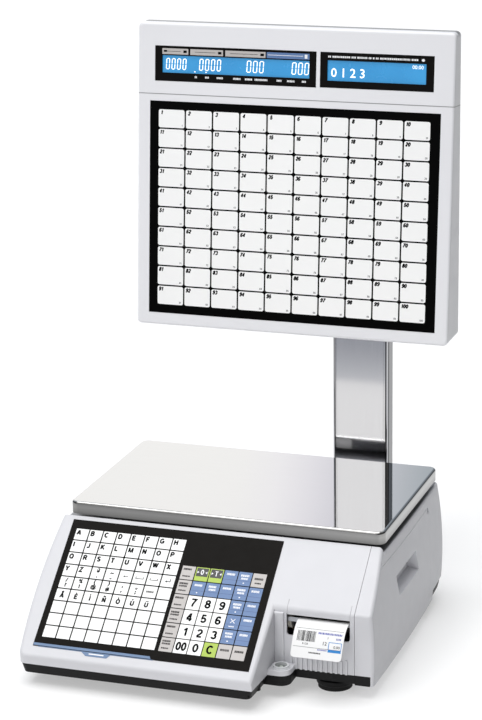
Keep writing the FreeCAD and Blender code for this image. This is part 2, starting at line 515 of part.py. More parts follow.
# ================================================================ spirit level
node("level_cup", cut("level_cup_body",
                      fuse("level_cup_sum", cyl("level_cup_wall", 9.2, "dims.level_x", "dims.level_y", "dims.parting_z + 2", 7),
                           cyl("level_cup_rim", 10.4, "dims.level_x", "dims.level_y", "dims.lug_top", 1)),
                      cyl("level_cup_hole", 7.2, "dims.level_x", "dims.level_y", "dims.parting_z + 3.5", 10)))
lens_dome = doc.addObject("Part::Sphere", "level_dome")
bind(lens_dome, "Radius", 18)
place(lens_dome, ("dims.level_x", "dims.level_y", "dims.lug_top + 1.2 - 18"))
node("level_lens", common("level_lens_body", cyl("level_vial", 7.1, "dims.level_x", "dims.level_y", "dims.parting_z + 3.5", 12), lens_dome))

# ================================================================ weighing mechanism and platter
CX, CY = "0", "dims.platter_y + dims.platter_d / 2"


def cy(d):
    return "%s + (%s)" % (CY, d)


cell = box("cell_bar", "-dims.cell_len / 2", "dims.cell_len / 2", cy(-15), cy(15), "dims.cell_z", "dims.cell_z + dims.cell_h")
waist = fuse("cell_waist", cyl("cell_waist_a", 9, -14, cy(-20), "dims.cell_z + dims.cell_h / 2", 40, "Y"),
             cyl("cell_waist_b", 9, 14, cy(-20), "dims.cell_z + dims.cell_h / 2", 40, "Y"),
             box("cell_waist_slot", -14, 14, cy(-20), cy(20), "dims.cell_z + dims.cell_h / 2 - 3", "dims.cell_z + dims.cell_h / 2 + 3"))
CELL_BOLTS = [(-52, -8), (-52, 8), (52, -8), (52, 8)]
bolt_holes = [cyl("cell_hole_%d" % k, 2.55, x, cy(dy), "dims.cell_z + dims.cell_h - 8", 40) for k, (x, dy) in enumerate(CELL_BOLTS)]
node("load_cell", cut("load_cell_body", cell, waist, *bolt_holes))
node("load_cell_spacers", group("load_cell_spacer_set",
                                box("spacer_low", "-dims.cell_len / 2 + 1", -36, cy(-15), cy(15), "dims.cell_z - 4", "dims.cell_z"),
                                cut("spacer_high_drilled", box("spacer_high", 36, "dims.cell_len / 2 - 1", cy(-15), cy(15), "dims.cell_z + dims.cell_h", "dims.spider_z"), *bolt_holes[2:])))
spider = fuse("spider_sum", box("spider_hub", -30, 70, cy(-24), cy(24), "dims.spider_z", "dims.spider_z + 4"),
              *[box("spider_arm_%d" % j, "-dims.post_x - 10", "dims.post_x + 10", cy("%d * dims.post_dy - 9" % j), cy("%d * dims.post_dy + 9" % j), "dims.spider_z", "dims.spider_z + 4") for j in (-1, 1)],
              box("spider_spine", -14, 22, cy("-dims.post_dy"), cy("dims.post_dy"), "dims.spider_z", "dims.spider_z + 4"),
              *[cyl("spider_post_%d%d" % (i, j), "dims.post_r", "%d * dims.post_x" % i, cy("%d * dims.post_dy" % j), "dims.spider_z + 2", 28.5) for i in (-1, 1) for j in (-1, 1)])
node("platter_spider", cut("platter_spider_body", spider, *bolt_holes))
node("spider_pads", group("spider_pad_set", *[
    cyl("spider_pad_%d%d" % (i, j), "dims.post_r - 1", "%d * dims.post_x" % i, cy("%d * dims.post_dy" % j), "dims.spider_z + 30.5", "dims.platter_top - dims.platter_t - 30.5 - dims.spider_z") for i in (-1, 1) for j in (-1, 1)]))
node("load_cell_bolts", group("load_cell_bolt_set", *[
    fuse("cell_bolt_%d" % k, cyl("cell_bolt_shank_%d" % k, 2.5, x, cy(dy), z0, 6), cyl("cell_bolt_head_%d" % k, 4.2, x, cy(dy), z1, 4))
    for k, (x, dy, z0, z1) in enumerate([(-52, -8, "dims.cell_z + dims.cell_h - 5", "dims.cell_z + dims.cell_h"), (-52, 8, "dims.cell_z + dims.cell_h - 5", "dims.cell_z + dims.cell_h"),
                                         (52, -8, "dims.spider_z - 1", "dims.spider_z + 4"), (52, 8, "dims.spider_z - 1", "dims.spider_z + 4")])]))

pan_block = body_pad("platter_block", "XY_Plane", [round_rect("-dims.platter_w / 2", "dims.platter_w / 2", "dims.platter_y", "dims.platter_y + dims.platter_d", "dims.platter_r")],
                     "dims.platter_skirt", at=(0, 0, "dims.platter_top - dims.platter_skirt"))
body_fillet(pan_block, 3, lambda e: abs(mid(e).z - D["platter_skirt"]) < 0.01, "platter_edge")
pan_hollow = body_pad("platter_hollow", "XY_Plane", [round_rect("-dims.platter_w / 2 + dims.platter_t", "dims.platter_w / 2 - dims.platter_t", "dims.platter_y + dims.platter_t", "dims.platter_y + dims.platter_d - dims.platter_t", "dims.platter_r - dims.platter_t")],
                      "dims.platter_skirt", at=(0, 0, "dims.platter_top - dims.platter_skirt - dims.platter_t"))
body_fillet(pan_hollow, 1.8, lambda e: abs(mid(e).z - D["platter_skirt"]) < 0.01, "platter_edge_in")
cups = [cut("platter_cup_%d%d" % (i, j), cyl("platter_cup_out_%d%d" % (i, j), "dims.post_r + 2.2", "%d * dims.post_x" % i, cy("%d * dims.post_dy" % j), "dims.platter_top - 7", 6.2),
            cyl("platter_cup_in_%d%d" % (i, j), "dims.post_r + 0.6", "%d * dims.post_x" % i, cy("%d * dims.post_dy" % j), "dims.platter_top - 8", "8 - dims.platter_t")) for i in (-1, 1) for j in (-1, 1)]
node("platter", fuse("platter_body", cut("platter_shell", pan_block, pan_hollow), *cups))

# ================================================================ feet
for key, (a, b) in FEET.items():
    fx, fy = "%d * dims.foot_x" % a, "dims.foot_" + b
    pad = cut("foot_pad_block_" + key, cyl("foot_rubber_" + key, "dims.foot_r - 2", fx, fy, 0, 5),
              cyl("foot_socket_" + key, 6.1, fx, fy, 2.5, 5))
    node("foot_pad_" + key, pad)
    knob = cyl("foot_knob_" + key, "dims.foot_r", fx, fy, 5.3, 6.7)
    doc.recompute()
    knob_r = fillet("foot_knob_round_" + key, knob, 1.5, lambda e: True)
    node("foot_screw_" + key, fuse("foot_screw_body_" + key, knob_r, cyl("foot_ball_" + key, 6, fx, fy, 2.6, 3.5),
                                   cyl("foot_stud_" + key, "dims.stud_r", fx, fy, 11, 24)))

# ================================================================ printer
PY, PZ = D["platen_y"], D["platen_z"]
MOD, NP, NR, NW = D["pitch_mod"], D["pinion_teeth"], D["platen_teeth"], D["rewind_teeth"]
MY = "dims.platen_y + (dims.pinion_teeth + dims.platen_teeth) * dims.pitch_mod / 2 * cos(50 deg)"
MZ = "dims.platen_z - (dims.pinion_teeth + dims.platen_teeth) * dims.pitch_mod / 2 * sin(50 deg)"
WY = "(%s) + (dims.pinion_teeth + dims.rewind_teeth) * dims.pitch_mod / 2 * cos(60 deg)" % MY
WZ = "(%s) - (dims.pinion_teeth + dims.rewind_teeth) * dims.pitch_mod / 2 * sin(60 deg)" % MZ


def gear(name, teeth, x, width, at, phase):
    """A spur gear turning about X: a disc, one tooth and a circular pattern. phase is the angle of a tooth centre,
    from +Y towards +Z; teeth names a cell of the spreadsheet."""
    n = num(teeth)
    rp = n * MOD / 2
    ro, rr = rp + MOD * 0.86, rp - MOD * 1.15
    step = 2 * math.pi / n
    c = math.radians(phase)
    pts = [(r * math.cos(c + k * w * step), r * math.sin(c + k * w * step))
           for r, w, k in ((rr - 0.3, 0.33, -1), (rr, 0.33, -1), (rp, 0.235, -1), (ro, 0.12, -1),
                           (ro, 0.12, 1), (rp, 0.235, 1), (rr, 0.33, 1), (rr - 0.3, 0.33, 1))]
    b = doc.addObject("PartDesign::Body", name)
    disc = b.newObject("PartDesign::Pad", name + "_disc")
    disc.Profile = sketch_loops(b, "YZ_Plane", [("circle", 0, 0, "%s * dims.pitch_mod / 2 - 1.15 * dims.pitch_mod" % teeth)], name + "_disc_sketch")
    bind(disc, "Length", width)
    doc.recompute()
    tooth = b.newObject("PartDesign::Pad", name + "_tooth")
    sk = sketch_loops(b, "YZ_Plane", [pts], name + "_tooth_sketch")
    tooth.Profile = sk
    bind(tooth, "Length", width)
    doc.recompute()
    ring = b.newObject("PartDesign::PolarPattern", name + "_ring")
    ring.Originals = [tooth]
    ring.Axis = (sk, ["N_Axis"])
    ring.Angle = 360
    bind(ring, "Occurrences", teeth)
    b.Tip = ring
    place(b, (x, at[0], at[1]))
    doc.recompute()
    return b


node("platen_roller", fuse("platen_roller_body", cyl("platen_rubber", "dims.platen_r", 106, "dims.platen_y", "dims.platen_z", 69, "X"),
                           cyl("platen_shaft", 2.5, 95.2, "dims.platen_y", "dims.platen_z", 84.1, "X")))
gear_hole = cyl("platen_gear_bore", 2.5, 90, "dims.platen_y", "dims.platen_z", 30, "X")
node("platen_gear", cut("platen_gear_body", gear("platen_gear_blank", "dims.platen_teeth", 99.2, 4, ("dims.platen_y", "dims.platen_z"), 310 + 0), gear_hole))
node("motor_pinion", fuse("motor_pinion_body", gear("motor_pinion_blank", "dims.pinion_teeth", 99.2, 4, (MY, MZ), 130 + 12), cyl("motor_shaft", 1.5, 95.1, MY, MZ, 6, "X")))
node("rewind_spool", fuse("rewind_spool_body", gear("rewind_gear", "dims.rewind_teeth", 99.2, 4, (WY, WZ), 120.83), cyl("rewind_core", 6, 103.2, WY, WZ, 68, "X"),
                          cyl("rewind_flange", 14, 104.2, WY, WZ, 1.2, "X"), cyl("rewind_shaft", 2, 95.2, WY, WZ, 10, "X")))
mot = fuse("motor_sum", cyl("motor_can", 17.5, 64, MY, MZ, 31, "X"), cyl("motor_boss", 5, 93, MY, MZ, 2.9, "X"))
node("stepper_motor", cut("stepper_motor_body", mot, cyl("motor_bore", 1.6, 90, MY, MZ, 10, "X")))

plate = box("frame_plate", 96, 98, -151, 92, 22, 112)
frame = cut("printer_frame_body",
            fuse("printer_frame_sum", plate,
                 box("frame_foot", 90, 98, -135, 86, "dims.base_z + 2.5", 24),
                 box("frame_cross", 97, 179, -128, -112, 39, 41),
                 box("frame_outer", 177, 179, -151, -94, 39, 112),
                 box("frame_top", 97, 179, -96, -94, 84, 112),
                 cyl("roll_hub", "dims.core_r - 0.08", 97, "dims.roll_y", "dims.roll_z", 80, "X"),
                 cyl("roll_flange", 34, 110, "dims.roll_y", "dims.roll_z", 1.6, "X"),
                 box("peel_bar", 97, 178, -152.5, -151, 84, 89.2)),
            cyl("frame_bore_a", 2.55, 90, "dims.platen_y", "dims.platen_z", 100, "X"),
            cyl("frame_bore_b", 5.3, 90, MY, MZ, 10, "X"),
            cyl("frame_bore_c", 2.05, 90, WY, WZ, 10, "X"),
            cyl("roll_hub_bore", 15, 98, "dims.roll_y", "dims.roll_z", 90, "X"))
HY, HZ = "dims.head_y", "dims.head_z"
frame2 = cut("printer_frame_bored", frame, cyl("frame_bore_d", 2.05, 90, HY, HZ, 100, "X"),
             cyl("frame_bore_e", 2.05, 90, "dims.lever_y", "dims.lever_z", 100, "X"),
             box("frame_trim", -10, 300, -120, 60, -7, 60, **SLOPE))
node("printer_frame", frame2)
node("print_head", cut("print_head_body",
                       fuse("print_head_sum", box("head_heater", 106, 172, -148, -134, 90.1, 94.5),
                            box("head_beam", 104, 174, -144, -126, 94.3, 96.5),
                            *[box("head_arm_%d" % k, x, x + 2, -128, "dims.head_y", 94.3, "dims.head_z + 2") for k, x in enumerate((104, 172))] +
                             [cyl("head_axle", 2, 95.5, HY, HZ, 84, "X"), cyl("head_hub_a", 4, 104, HY, HZ, 2, "X"), cyl("head_hub_b", 4, 172, HY, HZ, 2, "X")]),
                       box("head_arm_relief", 100, 180, -122, "dims.head_y - 6", 90, 97.5)))
node("release_lever", fuse("release_lever_body", cyl("lever_axle", 2, 95.4, "dims.lever_y", "dims.lever_z", 88, "X"),
                           *[fuse("lever_cam_%d" % k, cyl("lever_cam_tip_%d" % k, 2, x, "dims.lever_y", "dims.lever_z - 6.6", 5, "X"),
                                  box("lever_cam_web_%d" % k, x, x + 5, "dims.lever_y - 2", "dims.lever_y + 2", "dims.lever_z - 6.6", "dims.lever_z")) for k, x in enumerate((115, 158))] +
                           [cyl("lever_hub", 6, 179.5, "dims.lever_y", "dims.lever_z", 3, "X"),
                            box("lever_handle", 179.6, 182.4, "dims.lever_y - 3.5", "dims.lever_y + 3.5", "dims.lever_z - 34", "dims.lever_z"),
                            box("lever_grip", 179.6, 186.5, "dims.lever_y - 5", "dims.lever_y + 5", "dims.lever_z - 46", "dims.lever_z - 32")]))
roll = cut("label_roll_body", cyl("roll_paper", "dims.roll_r", "dims.label_x0", "dims.roll_y", "dims.roll_z", "dims.label_w", "X"),
           cyl("roll_bore", "dims.core_r", 90, "dims.roll_y", "dims.roll_z", 100, "X"))
node("label_roll", roll)

# the issued label: a thin strip that leaves the slot and hangs over the sill
LX0, LX1 = "dims.label_x0 + 1", "dims.label_x0 + dims.label_w + 1"
LT = 0.35
path = [(-151.5, 89.2), (-158, 89.0), (-166, 86.2), (-174, 79.5), (-181, 70.0), (-188.5, 56.5)]


def strip(pts, t):
    """A closed outline of a curved strip: the path and its offset by t to the upper side."""
    up = []
    for i, (y, z) in enumerate(pts):
        y0, z0 = pts[max(i - 1, 0)]
        y1, z1 = pts[min(i + 1, len(pts) - 1)]
        n = math.hypot(y1 - y0, z1 - z0)
        up.append((y + t * (z1 - z0) / n, z - t * (y1 - y0) / n))
    return pts + up[::-1]


def smooth(pts, per=4):
    """Catmull-Rom points through the path."""
    p = [pts[0]] + pts + [pts[-1]]
    out = []
    for i in range(1, len(p) - 2):
        for k in range(per):
            u = k / per
            out.append(tuple(0.5 * (2 * b + (c - a) * u + (2 * a - 5 * b + 4 * c - d) * u * u + (3 * b - a - 3 * c + d) * u ** 3)
                             for a, b, c, d in zip(p[i - 1], p[i], p[i + 1], p[i + 2])))
    return out + [pts[-1]]


label = body_pad("label_strip", "YZ_Plane", [strip(smooth(path, 3), LT)], "dims.label_w", at=(LX0, 0, 0))
label_edge = doc.addObject("Part::Common", "label_rounded")
doc.recompute()
label_r = fillet("label_corners", label, 4, lambda e: mid(e).z < 58.5 and e.Length < 1 and abs(mid(e).y + 188.5) < 1.5 and not along(e, (1, 0, 0)))
doc.removeObject("label_rounded")
node("printed_label", label_r)

# ================================================================ electronics and rear connections
board = cut("main_board_sheet", box("main_board_pcb", -178, -82, -110, 120, 30, 31.6), cyl("board_clear", 10, "-dims.foot_x", "dims.foot_y0", 20, 40))
node("main_board", fuse("main_board_body", board, box("board_chip", -140, -110, -40, -10, 31.6, 34), box("board_cpu_sink", -136, -114, 20, 42, 31.6, 42),
                        box("board_header", -100, -90, -90, -40, 31.6, 40),
                        *[cyl("board_standoff_%d%d" % (i, j), 3.5, x, y, "dims.base_z + 2.5", 30 - 18) for i, x in enumerate((-172, -88)) for j, y in enumerate((-80, 110))]))
node("power_board", fuse("power_board_body", box("power_pcb", -72, 30, 66, 160, 30, 31.6), box("transformer", -50, -15, 90, 130, 31.6, 62), box("capacitor", 0, 20, 90, 130, 31.6, 52),
                         *[cyl("power_standoff_%d%d" % (i, j), 3.5, x, y, "dims.base_z + 2.5", 12) for i, x in enumerate((-66, 24)) for j, y in enumerate((74, 152))]))
node("power_inlet", cut("power_inlet_body", fuse("power_inlet_sum", box("inlet_block", -174, -146, 152, "dims.body_rear", 47, 67), box("inlet_flange", -177, -143, "dims.body_rear", 178, 44, 70)),
                        cut("inlet_well", box("inlet_mouth", -171, -149, 160, 180, 49.5, 64.5), *[box("inlet_pin_%d" % k, x - 1, x + 1, 158, 174, 54.5, 60.5) for k, x in enumerate((-166, -160, -154))])))
bezel = cut("switch_bezel_body", fuse("switch_bezel_sum", box("switch_block", -132, -112, 158, "dims.body_rear", 45, 69), box("switch_flange", -134.5, -109.5, "dims.body_rear", 178, 42.5, 71.5)),
            box("switch_well", -129.5, -114.5, 162, 180, 47.5, 66.5))
node("switch_bezel", cut("switch_bezel_bored", bezel, cyl("switch_axle_hole", 1.05, -131.5, "dims.body_rear - 3", 57, 19, "X")))
ROCK = dict(turn=((1, 0, 0), "8 deg"), at=(0, "dims.body_rear - 3", 57))
rock = cut("rocker_block", cyl("rocker_round", 9.2, -129.2, "dims.body_rear - 3", 57, 14.4, "X"),
           box("rocker_back", -140, -100, -40, -3, -30, 30, **ROCK), box("rocker_dish", -140, -100, 5, 40, -30, 30, **ROCK))
node("power_rocker", fuse("power_rocker_body", rock, cyl("rocker_axle", 1, -131.3, "dims.body_rear - 3", 57, 18.6, "X")))
ports = cut("rear_ports_body", fuse("rear_ports_sum", box("ports_block", -92, -30, 158, "dims.body_rear", 44, 64), box("ports_flange", -95, -27, "dims.body_rear", 177.5, 41, 67)),
            box("port_network", -88, -73, 161, 180, 47, 60), box("port_serial", -68, -50, 161, 180, 48, 60), box("port_drawer", -45, -34, 161, 180, 48, 59))
node("rear_ports", ports)

# ================================================================ pole
PX0, PX1 = "dims.pole_x - dims.pole_w / 2", "dims.pole_x + dims.pole_w / 2"
PY1 = "dims.pole_y + dims.pole_d"
tube = body_pad("pole_tube", "XY_Plane", [round_rect(PX0, PX1, "dims.pole_y", PY1, 4.5)], "dims.pole_z1 - dims.pole_z0", at=(0, 0, "dims.pole_z0"))
bore = body_pad("pole_bore", "XY_Plane", [round_rect(PX0 + " + dims.pole_t", PX1 + " - dims.pole_t", "dims.pole_y + dims.pole_t", PY1 + " - dims.pole_t", 2.9)],
                "dims.pole_z1 - dims.pole_z0 + 10", at=(0, 0, "dims.pole_z0 - 5"))
grooves = [box("pole_groove_%d" % k, x, x + 1.2, "dims.pole_y - 1", "dims.pole_y + 0.5", 0, 600) for k, x in enumerate((52.9, 113.9))]
pole_holes = [cyl("pole_hole_%d%d" % (i, j), 2.1, x, 195, z, 14, "Y") for i, x in enumerate((66, 102)) for j, z in enumerate((370, 440))]
low_holes = [cyl("pole_low_hole_%d" % k, 2.1, 40, 214.5, z, 20, "X") for k, z in enumerate((60, 90))] + [cyl("pole_low_hole_%d" % (k + 2), 2.1, 112, 214.5, z, 20, "X") for k, z in enumerate((60, 90))]
node("pole", cut("pole_body", tube, bore, *(grooves + pole_holes + low_holes)))
brk = fuse("pole_bracket_sum", box("bracket_floor", 44, 124, 120, 230, "dims.base_z + 2.6", "dims.pole_z0"),
           box("bracket_cheek_a", PX0 + " - 2.8", PX0, 178.5, 230, 18.1, 112), box("bracket_cheek_b", PX1, PX1 + " + 2.8", 178.5, 230, 18.1, 112),
           box("bracket_web", PX0 + " - 2.8", PX1 + " + 2.8", 178.5, 181, 18.1, 112))
node("pole_bracket", cut("pole_bracket_body", brk, *[cyl("bracket_hole_%d" % k, 2.1, 40, 214.5, z, 90, "X") for k, z in enumerate((60, 90))]))
node("pole_screws", group("pole_screw_set", *[
    fuse("pole_screw_%d%d" % (i, k), cyl("pole_screw_shank_%d%d" % (i, k), 1.9, x0, 214.5, z, 8, "X"), cyl("pole_screw_head_%d%d" % (i, k), 4, x1, 214.5, z, 2.4, "X"))
    for i, (x0, x1) in enumerate(((42.7, 42.3), (117.9, 123.3))) for k, z in enumerate((60, 90))]))

# ================================================================ head
TANF = math.tan(math.radians(D["face_deg"]))


def head_profile(o):
    """Side view of the head: leaning front, upright back; o moves every face inwards."""
    def yf(z):
        return "dims.face_y + (%s - dims.face_z) * tan(dims.face_deg * 1 deg) + %s / cos(dims.face_deg * 1 deg)" % (z, o)
    z0, z1 = "(dims.head_z0 + %s)" % o, "(dims.head_z1 - %s)" % o
    return [(yf(z0), z0), ("dims.head_back - %s" % o, z0), ("dims.head_back - %s" % o, z1), (yf(z1), z1)]


def on_face(p, tol=0.4):
    return abs((p.y - D["face_y"]) - (p.z - D["face_z"]) * TANF) < tol


head_block = body_pad("head_block", "YZ_Plane", [head_profile(0)], "2 * dims.head_hw", both=True)
doc.recompute()
hx = D["head_hw"]
back_ids, front_ids, corner_ids = [], [], []
for i, e in enumerate(head_block.Shape.Edges, 1):
    m = mid(e)
    if abs(m.y - D["head_back"]) < 0.1:
        back_ids.append(i)
    elif min(abs(m.z - D["head_z1"]), abs(m.z - D["head_z0"])) < 0.1 and abs(abs(m.x) - hx) < 0.1:
        corner_ids.append(i)
    elif on_face(m) or abs(abs(m.x) - hx) < 0.1:
        front_ids.append(i)
head_f = doc.addObject("Part::Fillet", "head_edges")
head_f.Base = head_block
head_f.Edges = [(i, 8.0, 8.0) for i in back_ids] + [(i, 6.0, 6.0) for i in corner_ids] + [(i, 3.0, 3.0) for i in front_ids]
head_hollow = body_pad("head_hollow", "YZ_Plane", [head_profile(3)], "2 * dims.head_hw - 6", both=True)
head_in_f = doc.addObject("Part::Fillet", "head_hollow_edges")
doc.recompute()
head_in_f.Base = head_hollow
head_in_f.Edges = [(i, 5.2, 5.2) for i, e in enumerate(head_hollow.Shape.Edges, 1) if mid(e).y > D["head_back"] - 3.1]
head_shell = cut("head_shell", head_f, head_in_f)
pole_pass = box("pole_pass", PX0 + " - 0.4", PX1 + " + 0.4", "dims.pole_y - 0.4", PY1 + " + 0.4", 300, 345)
front_half = cut("head_front_half", head_shell, box("head_rear_cut", -300, 300, "dims.head_split - 0.15", 300, 300, 800), pole_pass)
win = [("price", -181, 29.2, 291, 335), ("text", 34, 177.5, 291.5, 335)]
frame_low = cut("head_front_frame_body", front_half,
                box("head_header_cut", -260, 260, -60, 120, "dims.head_seam_v - 0.15", 500, **FACE),
                box("head_key_recess", "-dims.ov_hw - 0.3", "dims.ov_hw + 0.3", -20, 1, "-dims.ov_foot - 0.3", "dims.ov_h + 0.3", **FACE),
                box("head_key_window", "-dims.ov_hw + 7", "dims.ov_hw - 7", -20, 20, 7, "dims.ov_h - 7", **FACE))
node("head_front_frame", frame_low)
header = cut("head_header_body", front_half,
             box("head_low_cut", -260, 260, -60, 120, -100, "dims.head_seam_v + 0.15", **FACE),
             *[box("head_win_%s" % n, x0, x1, -20, 2, v0, v1, **FACE) for n, x0, x1, v0, v1 in win],
             *[box("head_see_%s" % n, x0 + 2.5, x1 - 2.5, -20, 20, v0 + 2.5, v1 - 2.5, **FACE) for n, x0, x1, v0, v1 in win])
node("head_header", header)
back = cut("head_back_body", head_shell, box("head_front_cut", -300, 300, 100, "dims.head_split + 0.15", 300, 800),
           box("pole_pass_b", PX0 + " - 0.4", PX1 + " + 0.4", "dims.pole_y - 0.4", PY1 + " + 0.4", 300, 345),
           box("customer_recess", -160.3, 160.3, "dims.head_back - 1.2", 250, 627.7, 682.3), box("customer_window", -154, 154, 225, 250, 634, 676),
           *[cyl("head_screw_%s_%d%d" % (tag, i, j), r, x, y, z, 20, "Y") for i, x in enumerate((30, 138)) for j, z in enumerate((500, 580)) for tag, r, y in (("hole", 1.8, 225), ("sink", 3.5, 232.3))])
node("head_back_shell", back)
node("customer_lens", box("customer_lens_body", -160, 160, "dims.head_back - 1.2", "dims.head_back", 628, 682))
node("head_key_overlay", box("head_overlay_body", "-dims.ov_hw", "dims.ov_hw", 0, 0.98, "-dims.ov_foot", "dims.ov_h", **FACE))
node("head_key_membrane", box("head_membrane_body", "-dims.ov_hw + 7.3", "dims.ov_hw - 7.3", 1, 2.98, 7.3, "dims.ov_h - 7.3", **FACE))
node("head_key_plate", box("head_plate_body", "-dims.ov_hw + 2", "dims.ov_hw - 2", 3.02, 4.2, 2, "dims.ov_h - 2", **FACE))
for n, x0, x1, v0, v1 in win:
    node(n + "_lens", box(n + "_lens_body", x0 + 0.2, x1 - 0.2, 0.3, 1.98, v0 + 0.2, v1 - 0.2, **FACE))
node("price_lcd", box("price_lcd_body", -176, 25, 2.1, 6.9, 294.5, 331.5, **FACE))
node("text_lcd", box("text_lcd_body", 38.5, 173, 2.1, 6.9, 295, 331.5, **FACE))
node("display_board", fuse("display_board_body", box("display_pcb", -183, 180, 7, 8.6, 283, 345, **FACE),
                           *[box("display_stud_%d" % k, x, x + 5, 3, 7, v, v + 4, **FACE) for k, (x, v) in enumerate(((-183, 284), (175, 284), (-183, 340), (175, 340)))]))
node("customer_lcd", box("customer_lcd_body", -150, 150, "dims.head_back - 5.5", "dims.head_back - 1.3", 636, 674))
node("head_bracket", cut("head_bracket_body",
                         fuse("head_bracket_sum", box("head_plate", 22, 146, 199.6, "dims.pole_y", 345, 592),
                              *[cyl("head_standoff_%d%d" % (i, j), 4, x, 201, z, "dims.head_back - 3 - 201", "Y") for i, x in enumerate((30, 138)) for j, z in enumerate((500, 580))]),
                         *([cyl("head_plate_hole_%d%d" % (i, j), 2.1, x, 190, z, 20, "Y") for i, x in enumerate((66, 102)) for j, z in enumerate((370, 440))] +
                           [cyl("head_standoff_bore_%d%d" % (i, j), 1.4, x, 215, z, 20, "Y") for i, x in enumerate((30, 138)) for j, z in enumerate((500, 580))])))
node("head_screws", group("head_screw_set", *(
    [fuse("head_pole_screw_%d%d" % (i, j), cyl("hps_shank_%d%d" % (i, j), 1.9, x, 198, z, 9, "Y"), cyl("hps_head_%d%d" % (i, j), 4, x, 197.4, z, 2.2, "Y")) for i, x in enumerate((66, 102)) for j, z in enumerate((370, 440))] +
    [fuse("head_back_screw_%d%d" % (i, j), cyl("hbs_shank_%d%d" % (i, j), 1.35, x, 218, z, 16, "Y"), cyl("hbs_head_%d%d" % (i, j), 3.2, x, 232.3, z, 1.6, "Y")) for i, x in enumerate((30, 138)) for j, z in enumerate((500, 580))])))
collar = cut("pole_collar_sum", box("collar_block", 12, 156, 184, 232.5, 325.5, "dims.head_z0"), box("collar_pass", PX0 + " - 0.1", PX1 + " + 0.1", "dims.pole_y - 0.1", PY1 + " + 0.1", 300, 345))
doc.recompute()
node("pole_collar", fillet("pole_collar_body", collar, 2, lambda e: mid(e).z < 326 and (mid(e).x < 13 or mid(e).x > 155 or mid(e).y < 185 or mid(e).y > 232)))
# ================================================================ checks and export
doc.recompute()
bad = [o.Name for o in doc.Objects if "Invalid" in o.State or "Error" in o.State]
if bad:
    raise RuntimeError("objects in error: %s" % bad)
labels = [label for label, _ in NODES]
assert len(set(labels)) == len(labels) and len(labels) <= 60
os.makedirs("parts", exist_ok=True)
SETS = {"housing_screws": 4, "load_cell_spacers": 2, "spider_pads": 4, "load_cell_bolts": 4, "pole_screws": 4, "head_screws": 8}
for label, obj in NODES:
    shape = obj.Shape
    if shape.isNull() or not shape.isValid() or shape.Volume <= 0:
        raise RuntimeError("bad shape: " + label)
    if len(shape.Solids) != SETS.get(label, 1) or not all(sol.isClosed() for sol in shape.Solids):
        raise RuntimeError("wrong solids: %s has %d" % (label, len(shape.Solids)))
    if obj.Label != label:
        raise RuntimeError("label taken: %s is %s" % (label, obj.Label))
for label, obj in NODES:
    obj.Shape.exportStep("parts/%s.step" % label)
box_all = FreeCAD.BoundBox()
for _, obj in NODES:
    box_all.add(obj.Shape.optimalBoundingBox(True, False))
print("sub-parts:", len(NODES))
print("bounding box: x %.2f..%.2f  y %.2f..%.2f  z %.2f..%.2f" % (box_all.XMin, box_all.XMax, box_all.YMin, box_all.YMax, box_all.ZMin, box_all.ZMax))
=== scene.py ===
import bpy
import bmesh
import math
import random
from mathutils import Vector, Matrix
from mathutils.bvhtree import BVHTree


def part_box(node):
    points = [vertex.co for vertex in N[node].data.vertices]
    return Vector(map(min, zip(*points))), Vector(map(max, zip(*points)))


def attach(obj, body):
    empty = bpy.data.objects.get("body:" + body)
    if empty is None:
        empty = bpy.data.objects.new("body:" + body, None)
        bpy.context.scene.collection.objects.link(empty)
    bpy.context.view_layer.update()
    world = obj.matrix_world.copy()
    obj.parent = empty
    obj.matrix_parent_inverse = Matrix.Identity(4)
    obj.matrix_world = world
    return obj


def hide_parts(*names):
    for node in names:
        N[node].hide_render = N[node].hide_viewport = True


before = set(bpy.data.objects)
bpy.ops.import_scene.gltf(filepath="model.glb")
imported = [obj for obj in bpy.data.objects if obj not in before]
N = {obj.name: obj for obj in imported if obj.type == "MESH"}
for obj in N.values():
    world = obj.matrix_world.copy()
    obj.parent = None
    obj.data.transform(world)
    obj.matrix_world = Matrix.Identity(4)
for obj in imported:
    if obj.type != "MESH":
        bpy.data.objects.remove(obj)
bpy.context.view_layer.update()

random.seed(7)
MM = 0.001


# ------------------------------------------------------------------ node helpers
def new_mat(name):
    m = bpy.data.materials.new(name)
    m.use_nodes = True
    nt = m.node_tree
    b = nt.nodes["Principled BSDF"]
    return m, nt, b


def link(nt, a, b):
    nt.links.new(a, b)


def coords(nt, scale=1.0, stretch=(1, 1, 1)):
    tc = nt.nodes.new("ShaderNodeTexCoord")
    mp = nt.nodes.new("ShaderNodeMapping")
    mp.inputs["Scale"].default_value = [scale * k for k in stretch]
    link(nt, tc.outputs["Object"], mp.inputs["Vector"])
    return mp.outputs["Vector"]


def noise(nt, vec, scale, detail=3.0, rough=0.55):
    n = nt.nodes.new("ShaderNodeTexNoise")
    n.inputs["Scale"].default_value = scale
    n.inputs["Detail"].default_value = detail
    n.inputs["Roughness"].default_value = rough
    link(nt, vec, n.inputs["Vector"])
    return n.outputs["Fac"]


def ramp(nt, fac, stops):
    r = nt.nodes.new("ShaderNodeValToRGB")
    e = r.color_ramp.elements
    e[0].position, e[0].color = stops[0][0], (*stops[0][1], 1)
    e[1].position, e[1].color = stops[-1][0], (*stops[-1][1], 1)
    for p, c in stops[1:-1]:
        k = e.new(p)
        k.color = (*c, 1)
    link(nt, fac, r.inputs["Fac"])
    return r.outputs["Color"]


def remap(nt, fac, lo, hi):
    m = nt.nodes.new("ShaderNodeMapRange")
    m.inputs["To Min"].default_value = lo
    m.inputs["To Max"].default_value = hi
    m.inputs["From Min"].default_value = 0.25
    m.inputs["From Max"].default_value = 0.75
    link(nt, fac, m.inputs["Value"])
    return m.outputs["Result"]


